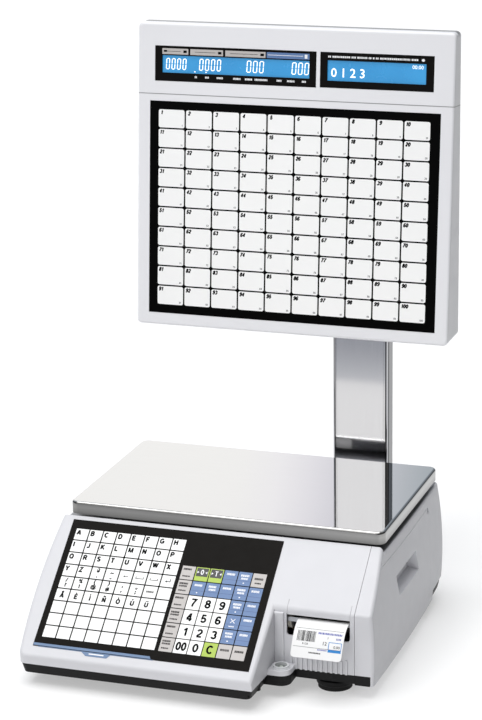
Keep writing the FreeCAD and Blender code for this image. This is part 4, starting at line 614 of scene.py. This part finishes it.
def ribbon(batch, pts, wide, put, n0, n1):
    """A stroke of even width along a centre line, mitred at its bends."""
    pts = list(pts)
    closed = pts[-1] == "closed"
    if closed:
        pts.pop()
    P = [Vector(p) for p in pts]
    m = len(P)
    left, right = [], []
    for i in range(m):
        a = P[i - 1] if (closed or i) else None
        c = P[(i + 1) % m] if (closed or i < m - 1) else None
        u = (P[i] - a).normalized() if a is not None else (c - P[i]).normalized()
        w = (c - P[i]).normalized() if c is not None else u
        t = (u + w).normalized()
        q = Vector((-t.y, t.x))
        k = wide / 2 / max(0.55, abs(q.dot(Vector((-u.y, u.x)))))
        left.append(P[i] + q * k)
        right.append(P[i] - q * k)
    k0 = len(batch.v)
    for n in (n0, n1):
        batch.v += [put(p.x, p.y, n) for p in left] + [put(p.x, p.y, n) for p in right]
    L = lambda i, top: k0 + top * 2 * m + i % m
    R = lambda i, top: k0 + top * 2 * m + m + i % m
    for i in range(m if closed else m - 1):
        batch.f.append([L(i, 1), R(i, 1), R(i + 1, 1), L(i + 1, 1)])
        batch.f.append([L(i, 0), L(i + 1, 0), R(i + 1, 0), R(i, 0)])
        batch.f.append([L(i, 0), L(i, 1), L(i + 1, 1), L(i + 1, 0)])
        batch.f.append([R(i, 0), R(i + 1, 0), R(i + 1, 1), R(i, 1)])
    if not closed:
        batch.f.append([L(0, 0), R(0, 0), R(0, 1), L(0, 1)])
        batch.f.append([L(m - 1, 0), L(m - 1, 1), R(m - 1, 1), R(m - 1, 0)])


def sign(batch, chars, x, v, size, put, n0, n1, up=1, weight=0.155, align="left", gap=0.10, wide=1.0, slant=0.0, mark=None):
    """Writes bold signs with their foot at v; size is the height of a capital."""
    total = (sum(GLYPH[c][0] for c in chars) + gap * (len(chars) - 1)) * size * wide
    ox = {"left": x, "mid": x - total / 2, "right": x - total}[align]
    for c in chars:
        w, strokes = GLYPH[c]
        sets = [(strokes, ox)]
        if mark:
            sets.append((GLYPH[mark][1], ox + w * size * wide / 2))
        for st, o0 in sets:
            for line in st:
                pts = [p if p == "closed" else (o0 + p[0] * size * wide + slant * p[1] * size, v + up * p[1] * size) for p in line]
                ribbon(batch, pts, weight * size, put, n0, n1)
        ox += (w + gap) * size * wide


FIG = {"0": "abcdef", "1": "bc", "2": "abged", "3": "abgcd", "4": "fgbc", "5": "afgcd", "6": "afgecd", "7": "abc", "8": "abcdefg", "9": "abcfgd"}

# ------------------------------------------------------------------ head keyboard: ten by ten printed keys
keys = Batch("head_keys_white", KEYW, "scale_body", "overlay_film")
ink = Batch("head_key_numbers", INK, "scale_body", "overlay_film")
small = Batch("head_key_small_numbers", INKG, "scale_body", "overlay_film")
X0, PX, V1, PV = -175.8, 35.13, 256.0, 24.8


def col_x(c):
    """Left edge of a key column: the printed columns narrow by a few hundredths towards the right."""
    t = c / 10
    return X0 + c * PX + 11.6 * t * (1 - t) - 0.75 * (1 - t)


def row_v(r):
    """Upper edge of a key row."""
    t = r / 10
    return V1 - r * PV + 0.6 - 1.1 * t + 4.2 * t * (1 - t)


for r in range(10):
    for c in range(10):
        x0, x1 = col_x(c) + 1.0, col_x(c + 1) - 1.0
        v1, v0 = row_v(r) - 0.95, row_v(r + 1) + 0.95
        keys.prism(rrect(x0, x1, v0, v1, 2.3), FACE.at, 0.005, 0.07)
        num = r * 10 + c + 1
        sign(ink, str(num), x0 + (1.5 if num > 9 else 2.6), v1 - 6.1, 4.7, FACE.at, 0.07, 0.12, weight=0.30, slant=0.24, gap=0.12)
        sign(small, str(num), x1 - 2.6, v0 + 1.9, 2.4, FACE.at, 0.07, 0.12, weight=0.17, align="right", gap=0.12)
for bt in (keys, ink, small):
    bt.done()

# ------------------------------------------------------------------ displays: black printed borders, blue glass, white figures
LCD_N = -2.12


def window_frame(name, node, cut_box, put=None, size=None, levels=(-1.9, -0.32), body="scale_body"):
    """The window plate with its clear area left open, so the display shows behind it."""
    lo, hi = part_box(node)
    z0, z1 = lo.z / MM, hi.z / MM
    x0, x1 = lo.x / MM, hi.x / MM
    # v of the plate's foot and top on the face plane
    v0 = (z0 - FACE.o.z / MM) / c5 + 0.15
    v1 = (z1 - FACE.o.z / MM) / c5 - 0.0
    if size:
        x0, x1, v0, v1 = size
    put = put or FACE.at
    a0, a1, b0, b1 = cut_box
    bm = bmesh.new()
    outer = rrect(x0, x1, v0, v1, 0.8, 3)
    inner = rrect(a0, a1, b0, b1, 0.6, 3)
    ring = []
    for n in levels:
        ring.append(([bm.verts.new(put(x, v, n)) for x, v in outer], [bm.verts.new(put(x, v, n)) for x, v in inner]))
    m = len(outer)
    for i in range(m):
        j = (i + 1) % m
        (ob, ib), (ot, it) = ring
        bm.faces.new((ot[i], ot[j], it[j], it[i]))
        bm.faces.new((ob[j], ob[i], ib[i], ib[j]))
        bm.faces.new((ob[i], ob[j], ot[j], ot[i]))
        bm.faces.new((ib[j], ib[i], it[i], it[j]))
    bmesh.ops.recalc_face_normals(bm, faces=bm.faces)
    me = bpy.data.meshes.new(name)
    bm.to_mesh(me)
    bm.free()
    me.materials.append(BEZEL)
    o = bpy.data.objects.new(name, me)
    bpy.context.scene.collection.objects.link(o)
    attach(o, body)
    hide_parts(node)
    return o


window_frame("price_window", "price_lens", (-171.7, 20.3, 301.6, 323.2))
window_frame("text_window", "text_lens", (43.0, 167.4, 300.2, 325.0))

digits = Batch("display_figures", LCDW, "scale_body", "lcd_blue")
for x, pitch, w, h, count in ((-167.4, 7.25, 5.0, 14.0, 4), (-123.6, 7.7, 5.3, 14.6, 4), (-61.6, 8.2, 5.8, 14.8, 3), (-3.2, 8.1, 5.8, 15.0, 3)):
    for k in range(count):
        seg_digit(digits, FIG["0"], x + k * pitch, 305.6, w, h, 1.15, FACE.at, LCD_N, LCD_N + 0.08)
for x in (-129.0, -114.2):
    digits.prism([(x - 1.2, 304.3), (x + 1.2, 304.3), (x, 302.6)], FACE.at, LCD_N, LCD_N + 0.08)
put_text(digits, "0 1 2 3", 47.5, 304.6, 15.5, FACE.at, LCD_N, weight=0.12, depth=0.08)
put_text(digits, "00:00", 163.5, 318.4, 6.4, FACE.at, LCD_N, align="right", depth=0.08)
digits.done()

cells = Batch("window_label_cells", KEYS, "scale_body", "display_window")
cell_b = Batch("window_label_cell_blue", KEYB, "scale_body", "display_window")
marks_w = Batch("window_marks_white", INKW, "scale_body", "display_window")
marks_k = Batch("window_marks_black", INK, "scale_body", "display_window")
for x0, x1 in ((-171.5, -137.2), (-134.6, -91.6), (-88.6, -36.4)):
    cells.prism(rrect(x0, x1, 324.6, 331.8, 0.3, 2), FACE.at, -0.32, -0.26)
    marks_k.prism(rrect(x1 - 6.6, x1 - 2.0, 326.6, 329.8, 0.5, 2), FACE.at, -0.26, -0.22)
    marks_k.prism(rrect(x0 + 6.0, x1 - 10.0, 328.0, 328.5, 0.2, 2), FACE.at, -0.26, -0.22)
marks_k.prism(rrect(-169.6, -165.2, 327.2, 329.6, 0.5, 2), FACE.at, -0.26, -0.22)
cell_b.prism(rrect(-34.8, 20.2, 324.6, 331.8, 0.3, 2), FACE.at, -0.32, -0.26)
marks_w.prism(rrect(-33.5, 12.0, 328.2, 328.8, 0.2, 2), FACE.at, -0.26, -0.22)
marks_w.prism(rrect(14.0, 17.6, 325.8, 330.6, 0.6, 2), FACE.at, -0.26, -0.22)
for x, w in ((-128.5, 3.0), (-114.8, 5.6), (-99.5, 8.0), (-78.0, 9.6), (-62.5, 9.5), (-50.0, 16.5), (-21.5, 6.5), (-8.0, 9.5), (11.0, 5.0)):
    k = x
    while k < x + w - 0.6:
        d = 1.1 + 0.5 * random.random()
        marks_w.prism(rrect(k, min(k + d, x + w), 296.2, 298.6, 0.25, 2), FACE.at, -0.32, -0.26)
        k += d + 0.45
k = 44.0
while k < 158.0:
    d = 1.0 + 1.3 * random.random()
    marks_w.prism(rrect(k, k + d, 328.3, 330.6, 0.25, 2), FACE.at, -0.32, -0.26)
    k += d + (0.5 if random.random() < 0.8 else 1.8)
marks_w.prism(ellipse(163.4, 329.4, 2.0, 1.7), FACE.at, -0.32, -0.26)
for bt in (cells, cell_b, marks_w, marks_k):
    bt.done()

# ------------------------------------------------------------------ customer display on the back of the head
clo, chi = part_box("customer_lcd")
CY, CZ = chi.y, (clo.z + chi.z) / 2


def back_at(x, v, n):
    return Vector((-x * MM, CY + n * MM, CZ + v * MM))


llo2, lhi2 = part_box("customer_lens")
half = (lhi2.z - llo2.z) / 2 / MM
window_frame("customer_window", "customer_lens", (-146.0, 146.0, -17.5, 17.5), put=back_at, size=(llo2.x / MM, lhi2.x / MM, -half, half), levels=(0.1, 1.28))
cust = Batch("customer_figures", LCDW, "scale_body", "lcd_blue")
for x0, count in ((-141, 5), (-22, 4), (66, 4)):
    for k in range(count):
        seg_digit(cust, FIG["0"], x0 + k * 19.5, -9.0, 11.5, 20.0, 1.5, back_at, 0.01, 0.06)
for x0, x1 in ((-141, -118), (-22, -2), (66, 90)):
    cust.prism(rrect(x0, x1, 14.6, 16.2, 0.3, 2), back_at, 0.01, 0.06)
cust.done()

# ------------------------------------------------------------------ sloping keyboard
T0 = KB_T + 0.005
T1 = KB_T + 0.06
kw = Batch("key_tiles_white", KEYW, "scale_body", "overlay_film")
kb = Batch("key_tiles_blue", KEYB, "scale_body", "overlay_film")
kg = Batch("key_tiles_green", KEYG, "scale_body", "overlay_film")
ks = Batch("key_tiles_grey", KEYS, "scale_body", "overlay_film")
kd = Batch("key_tile_lines", KEYD, "scale_body", "overlay_film")
kk = Batch("key_tiles_black", KEYK, "scale_body", "overlay_film")
ik = Batch("key_legends_black", INK, "scale_body", "overlay_film")
iw = Batch("key_legends_white", INKW, "scale_body", "overlay_film")


def key(batch, x0, x1, v0, v1, gap=0.8, r=0.4):
    batch.prism(rrect(x0 + gap, x1 - gap, v0 + gap, v1 - gap, r, 2), SLOPE.at, T0, T1)


def word(batch, x0, x1, v, hgt, n0=T1, n1=T1 + 0.05, seed=0):
    """A row of short strokes where a printed word would be."""
    rng = random.Random(seed)
    x = x0
    while x < x1 - 0.5:
        d = min(0.55 + 0.75 * rng.random(), x1 - x)
        batch.prism(rrect(x, x + d, v, v + hgt, min(0.2, d / 3), 2), SLOPE.at, n0, n1)
        x += d + 0.34


GX, GW, GV, GH = -181.0, 17.62, 11.5, 16.56
ROWS = ["ABCDEFGH", "IJKLMNOP", "QRSTUVWX", "YZ"]
MARKED = [("A", "ringa"), ("E", "grave"), ("I", "grave"), ("N", "tilde"), ("O", "grave"), ("U", "grave"), ("U", "trema")]
for r in range(9):
    for c in range(8):
        x0, v0 = GX + c * GW, GV + r * GH
        key(kw, x0, x0 + GW, v0, v0 + GH)
        if r < len(ROWS) and c < len(ROWS[r]):
            sign(ik, ROWS[r][c], x0 + 2.5, v0 + 8.9, 6.4, SLOPE.at, T1, T1 + 0.05, up=-1, weight=0.29, wide=1.10)
        if r == 5 and c < len(MARKED):
            sign(ik, MARKED[c][0], x0 + GW / 2, v0 + 12.2, 6.2, SLOPE.at, T1, T1 + 0.05, up=-1, weight=0.28, align="mid", wide=1.06, mark=MARKED[c][1])
# symbols of the fourth and fifth rows
for (r, c), (a, b) in {(3, 2): ("$", "."), (3, 3): ("~", "-"), (4, 0): ("/", "?"), (4, 1): ("%", "!"), (4, 2): ("(", "@"),
                       (4, 3): (")", "#"), (4, 4): ("'", ","), (4, 5): ("\"", ";")}.items():
    cx, v0 = GX + (c + 0.5) * GW, GV + r * GH
    put_text(ik, a, cx, v0 + 7.4, 6.6, SLOPE.at, T1, up=-1, weight=0.45, align="mid")
    put_text(ik, b, cx, v0 + 14.2, 6.6, SLOPE.at, T1, up=-1, weight=0.45, align="mid")


def poly(batch, pts, n0=T1, n1=T1 + 0.05):
    batch.prism(pts, SLOPE.at, n0, n1)


cx, v0 = GX + 4.5 * GW, GV + 3 * GH
poly(ik, [(cx - 3.0, v0 + 8.2), (cx - 1.0, v0 + 6.8), (cx - 1.0, v0 + 7.8), (cx + 3.0, v0 + 7.8), (cx + 3.0, v0 + 8.6), (cx - 1.0, v0 + 8.6), (cx - 1.0, v0 + 9.6)])
for c in (5, 6):
    cx = GX + (c + 0.5) * GW
    poly(ik, [(cx - 5, v0 + 6.6), (cx - 4.2, v0 + 6.6), (cx - 4.2, v0 + 8.8), (cx + 4.2, v0 + 8.8), (cx + 4.2, v0 + 6.6), (cx + 5, v0 + 6.6), (cx + 5, v0 + 9.6), (cx - 5, v0 + 9.6)])
cx = GX + 7.5 * GW
poly(ik, [(cx - 3.4, v0 + 8.8), (cx - 1.2, v0 + 7.2), (cx - 1.2, v0 + 8.3), (cx + 2.2, v0 + 8.3), (cx + 2.2, v0 + 5.4), (cx + 3.2, v0 + 5.4), (cx + 3.2, v0 + 9.3), (cx - 1.2, v0 + 9.3), (cx - 1.2, v0 + 10.4)])
cx, v0 = GX + 6.5 * GW, GV + 4 * GH
word(ik, cx - 5, cx + 5, v0 + 7.0, 2.6, seed=3)

FX, FW, FV, FH = -36.6, 17.43, 45.8, 19.15
LAYOUT = ["sgnbbl", "sbbbbb", "s789bb", "s456xb", "s123bb", "sZ0Cll"]
seed = 10
for r, line in enumerate(LAYOUT):
    for c, ch in enumerate(line):
        x0, v0 = FX + c * FW, FV + r * FH
        x1, v1 = x0 + FW, v0 + FH
        cx = (x0 + x1) / 2
        seed += 1
        if ch == "s":
            key(ks, x0, x1, v0, v0 + FH * 0.60, gap=0.6)
            key(ks, x0, x1, v0 + FH * 0.54, v1, gap=0.6)
            word(ik, x0 + 2.4, x1 - 2.6 - (seed % 3), v0 + 3.6, 2.5, seed=seed)
            if r % 2:
                word(ik, x0 + 2.4, x1 - 4.4, v0 + 7.2, 2.2, seed=seed + 40)
            word(ik, x0 + 3.0, x1 - 4.0 - (seed % 2), v0 + 13.2, 1.9, seed=seed + 70)
        elif ch in "gn":
            key(kg, x0, x1, v0, v1, gap=0.6)
            kk.prism(rrect(x0 + 1.6, x1 - 1.6, v0 + 1.6, v0 + 12.6, 0.4, 2), SLOPE.at, T1, T1 + 0.05)
            n = T1 + 0.05
            iw.prism([(x0 + 2.6, v0 + 5.6), (x0 + 5.0, v0 + 7.2), (x0 + 2.6, v0 + 8.8)], SLOPE.at, n, n + 0.05)
            iw.prism([(x1 - 2.6, v0 + 5.6), (x1 - 5.0, v0 + 7.2), (x1 - 2.6, v0 + 8.8)], SLOPE.at, n, n + 0.05)
            sign(iw, "0" if ch == "g" else "T", cx, v0 + 10.2, 6.6, SLOPE.at, n, n + 0.05, up=-1, weight=0.17, align="mid")
        elif ch == "b":
            key(kb, x0, x1, v0, v1, gap=0.6)
            kd.prism(rrect(x0 + 0.7, x1 - 0.7, v0 + 12.3, v0 + 12.75, 0.1, 2), SLOPE.at, T1, T1 + 0.03)
            word(iw, cx - 5.0, cx + 4.8, v0 + 3.9, 2.8, seed=seed)
            if seed % 2:
                word(iw, cx - 4.0, cx + 4.2, v0 + 8.0, 2.6, seed=seed + 30)
            if seed % 3 == 0:
                iw.prism(ellipse(cx, v0 + 15.2, 0.9, 0.8, 12), SLOPE.at, T1, T1 + 0.05)
        elif ch == "x":
            key(kb, x0, x1, v0, v1, gap=0.6)
            kd.prism(rrect(x0 + 0.7, x1 - 0.7, v0 + 12.3, v0 + 12.75, 0.1, 2), SLOPE.at, T1, T1 + 0.03)
            word(iw, cx - 3.4, cx + 3.4, v0 + 14.4, 1.5, seed=seed)
            for sg in (1, -1):
                a = Vector((sg * 2.6, 2.6))
                q = Vector((-a.y, a.x)).normalized() * 0.45
                c0 = Vector((cx, v0 + 8.0))
                poly(iw, [tuple(c0 - a + q), tuple(c0 + a + q), tuple(c0 + a - q), tuple(c0 - a - q)])
        elif ch == "l":
            key(ks, x0, x1, v0, v1, gap=0.6)
            word(ik, cx - 5.4, cx + 5.0, v0 + 6.4, 2.8, seed=seed)
            if r == 0:
                word(ik, cx - 4.0, cx + 3.6, v0 + 12.6, 1.9, seed=seed + 30)
        else:
            key(kg if ch == "C" else kw, x0, x1, v0, v1, gap=0.6)
            sign(ik, "00" if ch == "Z" else ch, cx, v0 + 14.6, 10.4, SLOPE.at, T1, T1 + 0.05, up=-1, weight=0.225, align="mid", wide=0.96 if ch == "Z" else 1.14)
for bt in (kw, kb, kg, ks, kd, kk, ik, iw):
    bt.done()
# the key sheet shows through the clear foot of the overlay on the letter side
foot = Batch("key_sheet_window", SHEET, "scale_body", "overlay_film")
foot.prism([(-187.6, 168.4), (-44.0, 168.4), (-42.0, 171.6), (-187.6, 171.6)], SLOPE.at, T0, T1)
foot.done()
# print on the pull tab of the key sheet
tab = Batch("key_sheet_mark", INKW, "key_sheet", "key_sheet")
tab.prism(rrect(-117.5, -99.0, 173.9, 175.3, 0.4, 2), SLOPE.at, 0.425, 0.47)
tab.done()

# ------------------------------------------------------------------ issued label: print laid on the curved strip
lab = N["printed_label"]
bvh = BVHTree.FromPolygons([v.co[:] for v in lab.data.vertices], [list(p.vertices) for p in lab.data.polygons])
llo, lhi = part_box("printed_label")
LXM = (llo.x + lhi.x) / 2
prof = []
for i in range(121):
    # rays come in square to the bend, from above and in front
    t = i / 120
    start = Vector((LXM, llo.y - 0.05 + 0.10 * t, lhi.z + 0.10 - 0.01 * t))
    hit = bvh.ray_cast(start + Vector((0, 0, 0)), Vector((0, 0.35, -1)).normalized(), 0.4)
    if hit[0] is not None:
        prof.append((hit[0].y, hit[0].z))
prof = sorted(set((round(y, 6), round(z, 6)) for y, z in prof), key=lambda p: -p[1])
prof = [p for p in prof if p[0] < llo.y + 0.5]
path, dist = [prof[0]], [0.0]
for p in prof[1:]:
    d = math.hypot(p[0] - path[-1][0], p[1] - path[-1][1])
    if d > 0.0002 and p[0] < path[-1][0] + 1e-5:
        path.append(p)
        dist.append(dist[-1] + d)
LEN = dist[-1]


def on_label(x, s, n=0.0):
    """x across from the left edge, s along from the free end up, both in mm; n out of the printed side."""
    d = max(0.0, min(LEN, LEN - s * MM))
    k = max(i for i in range(len(dist) - 1) if dist[i] <= d + 1e-9)
    u = (d - dist[k]) / (dist[k + 1] - dist[k])
    y = path[k][0] + (path[k + 1][0] - path[k][0]) * u
    z = path[k][1] + (path[k + 1][1] - path[k][1]) * u
    ty, tz = path[k + 1][0] - path[k][0], path[k + 1][1] - path[k][1]
    m = math.hypot(ty, tz)
    # outward side: up and to the front
    ny, nz = tz / m, -ty / m
    if nz < 0:
        ny, nz = -ny, -nz
    return Vector((llo.x + x * MM, y + ny * n * MM, z + nz * n * MM))


def strip_on_label(batch, x0, x1, s0, s1, n0=0.02, n1=0.06, step=2.0):
    k = max(1, int(math.ceil((s1 - s0) / step)))
    for i in range(k):
        a, b = s0 + (s1 - s0) * i / k, s0 + (s1 - s0) * (i + 1) / k
        batch.prism([(x0, a), (x1, a), (x1, b), (x0, b)], on_label, n0, n1)


pk = Batch("label_print_black", INK, "scale_body", "label_print")
pb = Batch("label_print_blue", PRINTB, "scale_body", "label_print")
pv = Batch("label_print_violet", INKB, "scale_body", "label_print")
pg = Batch("label_print_grey", INKG, "scale_body", "label_print")
rng = random.Random(5)
x = 5.0
while x < 26.5:
    w = rng.choice((0.35, 0.35, 0.7, 1.05))
    strip_on_label(pk, x, min(x + w, 26.5), 18.5, 31.0)
    x += w + rng.choice((0.35, 0.35, 0.7))
put_text(pk, "0 123", 15.5, 14.6, 3.0, on_label, 0.02, align="mid", weight=0.05)
strip_on_label(pg, 2.0, 58.0, 33.6, 34.0)
strip_on_label(pg, 2.0, 58.0, 11.6, 12.0)
rng = random.Random(9)
x = 29.0
while x < 57.0:
    d = 0.8 + 1.1 * rng.random()
    strip_on_label(pv, x, min(x + d, 57.0), 28.4, 30.8)
    x += d + 0.5
x = 51.0
while x < 57.0:
    strip_on_label(pv, x, x + 1.0, 23.2, 25.4)
    x += 1.5
put_text(pk, "1", 41.0, 23.4, 4.0, on_label, 0.02)
put_text(pk, "12", 36.4, 16.0, 5.6, on_label, 0.02, weight=0.05)
for a in ((43.0, 58.5, 19.6, 20.3), (43.0, 43.8, 11.8, 20.3), (57.8, 58.5, 11.8, 20.3)):
    strip_on_label(pb, *a)
strip_on_label(pb, 43.0, 58.5, 8.6, 11.8)
put_text(pk, "0.00", 56.6, 13.4, 4.4, on_label, 0.02, align="right", weight=0.04)
x = 31.0
while x < 41.5:
    strip_on_label(pv, x, x + 0.9, 9.4, 11.0)
    x += 1.4
x = 21.0
rng = random.Random(4)
while x < 35.0:
    d = 0.6 + 0.7 * rng.random()
    strip_on_label(pk, x, min(x + d, 35.0), 5.2, 6.8)
    x += d + 0.4
for bt in (pk, pb, pv, pg):
    bt.done()

# ------------------------------------------------------------------ spirit level: black target circle and bubble on the vial
vlo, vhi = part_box("level_lens")
VC = Vector(((vlo.x + vhi.x) / 2, (vlo.y + vhi.y) / 2, vhi.z))
VR = 0.018


def dome(x, v, n=0.0):
    """On the vial's dome: x, v in mm from its middle."""
    h = math.sqrt(max(VR * VR - (x * x + v * v) * 1e-6, 0)) - VR
    return VC + Vector((x * MM, v * MM, h + n * MM))


def ring_on_dome(name, r0, r1, mat, n0, n1, seg=48):
    bm = bmesh.new()
    rows = [[bm.verts.new(dome(r * math.cos(2 * math.pi * i / seg), r * math.sin(2 * math.pi * i / seg), n)) for i in range(seg)]
            for r, n in ((r0, n0), (r1, n0), (r1, n1), (r0, n1))]
    for a in range(4):
        for i in range(seg):
            bm.faces.new((rows[a][i], rows[a][(i + 1) % seg], rows[(a + 1) % 4][(i + 1) % seg], rows[(a + 1) % 4][i]))
    bmesh.ops.recalc_face_normals(bm, faces=bm.faces)
    me = bpy.data.meshes.new(name)
    bm.to_mesh(me)
    bm.free()
    me.materials.append(mat)
    o = bpy.data.objects.new(name, me)
    bpy.context.scene.collection.objects.link(o)
    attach(o, "scale_body")
    return o


ring_on_dome("level_circle", 3.0, 3.5, INK, 0.01, 0.05)
bub, nt, b = new_mat("bubble_m")
bvc = coords(nt)
link(nt, ramp(nt, noise(nt, bvc, 300.0), [(0.3, lin((176, 184, 176))), (0.7, lin((206, 212, 204)))]), b.inputs["Base Color"])
link(nt, remap(nt, noise(nt, bvc, 60.0), 0.04, 0.09), b.inputs["Roughness"])
bm = bmesh.new()
prof_b = [(2.2 * math.cos(a), 0.28 * math.sin(a)) for a in [math.radians(k * 15) for k in range(0, 7)]]
seg = 32
rows = []
for rr, hh in prof_b[:-1]:
    rows.append([bm.verts.new(dome(0.5 + rr * math.cos(2 * math.pi * i / seg), -0.3 + rr * math.sin(2 * math.pi * i / seg), 0.02 + hh)) for i in range(seg)])
top = bm.verts.new(dome(0.5, -0.3, 0.02 + prof_b[-1][1]))
bot = bm.verts.new(dome(0.5, -0.3, 0.0))
for a in range(len(rows) - 1):
    for i in range(seg):
        bm.faces.new((rows[a][i], rows[a][(i + 1) % seg], rows[a + 1][(i + 1) % seg], rows[a + 1][i]))
for i in range(seg):
    bm.faces.new((rows[-1][i], rows[-1][(i + 1) % seg], top))
    bm.faces.new((rows[0][(i + 1) % seg], rows[0][i], bot))
bmesh.ops.recalc_face_normals(bm, faces=bm.faces)
me = bpy.data.meshes.new("level_bubble")
bm.to_mesh(me)
bm.free()
for p in me.polygons:
    p.use_smooth = True
me.materials.append(bub)
o = bpy.data.objects.new("level_bubble", me)
bpy.context.scene.collection.objects.link(o)
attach(o, "scale_body")

# ------------------------------------------------------------------ stage, lights, camera
sc = bpy.context.scene
me = bpy.data.meshes.new("floor")
me.from_pydata([(-8, -8, 0), (8, -8, 0), (8, 8, 0), (-8, 8, 0)], [], [(0, 1, 2, 3)])
fm, nt, b = new_mat("floor_m")
fv = coords(nt)
link(nt, ramp(nt, noise(nt, fv, 3.0), [(0.3, (0.57, 0.57, 0.57)), (0.7, (0.59, 0.59, 0.59))]), b.inputs["Base Color"])
# painted shade: the floor's colour is painted grey in front of the table, where the light falls off, and its glow
# fades with it
fx = nt.nodes.new("ShaderNodeSeparateXYZ")
ft = nt.nodes.new("ShaderNodeTexCoord")
link(nt, ft.outputs["Object"], fx.inputs[0])
fall = nt.nodes.new("ShaderNodeMapRange")
fall.inputs["From Min"].default_value = -0.85
fall.inputs["From Max"].default_value = -0.40
link(nt, fx.outputs["Y"], fall.inputs["Value"])
fade = ramp(nt, fall.outputs["Result"], [(0.0, (0.36, 0.37, 0.40)), (1.0, (1.0, 1.0, 1.0))])
tint(fm, fade)
link(nt, fade, b.inputs["Emission Color"])
# a lit white acrylic table, so that shadows stay pale
b.inputs["Emission Strength"].default_value = 0.42
b.inputs["Roughness"].default_value = 0.8
b.inputs["Specular IOR Level"].default_value = 0.1
me.materials.append(fm)
floor = bpy.data.objects.new("floor", me)
sc.collection.objects.link(floor)

# studio: dim surround, a broad bright backdrop behind the object on the far left, light from overhead
w = bpy.data.worlds.new("studio")
sc.world = w
w.use_nodes = True
wt = w.node_tree
bg = wt.nodes["Background"]
wc = wt.nodes.new("ShaderNodeTexCoord")


def lobe(direction, power, stops):
    """Brightness by the angle from one direction of the surround."""
    d = wt.nodes.new("ShaderNodeVectorMath")
    d.operation = "DOT_PRODUCT"
    d.inputs[1].default_value = Vector(direction).normalized()
    wt.links.new(wc.outputs["Generated"], d.inputs[0])
    m = wt.nodes.new("ShaderNodeVectorMath")
    m.operation = "SCALE"
    m.inputs["Scale"].default_value = power
    wt.links.new(ramp(wt, d.outputs["Value"], [(p, v if isinstance(v, tuple) else (v, v, v)) for p, v in stops]), m.inputs[0])
    return m.outputs["Vector"]


def add(a, b):
    m = wt.nodes.new("ShaderNodeVectorMath")
    m.operation = "ADD"
    wt.links.new(a, m.inputs[0])
    wt.links.new(b, m.inputs[1])
    return m.outputs["Vector"]


back = lobe((-0.56, 0.79, 0.26), 1.02, [(0.0, 0.0), (0.90, (0.20, 0.24, 0.29)), (0.938, (0.37, 0.42, 0.47)), (0.9505, (0.76, 0.75, 0.83)), (0.9560, (0.95, 0.94, 0.99)), (0.962, 1.0), (1.0, 1.0)])
front = lobe((-0.30, -0.90, 0.30), 1.25, [(0.0, 0.0), (0.86, 0.0), (0.95, 0.75), (1.0, 1.0)])
over = lobe((-0.15, -0.10, 1.0), 1.0, [(0.0, 0.10), (0.45, 0.13), (0.80, 0.36), (1.0, 0.50)])
wt.links.new(add(add(back, front), over), bg.inputs["Color"])
bg.inputs["Strength"].default_value = 1.0


def area(name, at, look, size, power, size_y=None, colour=(1, 1, 1)):
    l = bpy.data.lights.new(name, "AREA")
    l.shape = "RECTANGLE"
    l.size, l.size_y = size, size_y or size
    l.energy = power
    l.color = colour
    o = bpy.data.objects.new(name, l)
    o.location = at
    o.rotation_euler = (Vector(look) - Vector(at)).to_track_quat("-Z", "Y").to_euler()
    sc.collection.objects.link(o)
    return o


def sun(name, towards, strength, angle):
    l = bpy.data.lights.new(name, "SUN")
    l.energy = strength
    l.angle = math.radians(angle)
    o = bpy.data.objects.new(name, l)
    o.rotation_euler = Vector(towards).to_track_quat("-Z", "Y").to_euler()
    sc.collection.objects.link(o)
    return o


sun("overhead_light", (0.12, 0.16, -1.0), 2.15, 50)
hl = area("head_light", (-0.40, -1.10, 1.34), (0, 0.19, 0.53), 0.6, 0.62)
hl.data.spread = math.radians(52)

cam = bpy.data.cameras.new("camera")
cam.sensor_width = 36
cam.lens = 2444.7 * 36 / 720
cam.clip_end = 50
co = bpy.data.objects.new("camera", cam)
yaw, pitch, roll = math.radians(19.071), math.radians(16.343), math.radians(0.883)
fwd = Vector((-math.sin(yaw) * math.cos(pitch), math.cos(yaw) * math.cos(pitch), -math.sin(pitch)))
right = Vector((math.cos(yaw), math.sin(yaw), 0))
down = fwd.cross(right)
r2 = math.cos(roll) * right + math.sin(roll) * down
d2 = -math.sin(roll) * right + math.cos(roll) * down
rot = Matrix((r2, -d2, -fwd)).transposed()
co.matrix_world = Matrix.Translation((0.9048, -2.6302, 1.1600)) @ rot.to_4x4()
sc.collection.objects.link(co)
sc.camera = co
sc.view_settings.view_transform = "Standard"
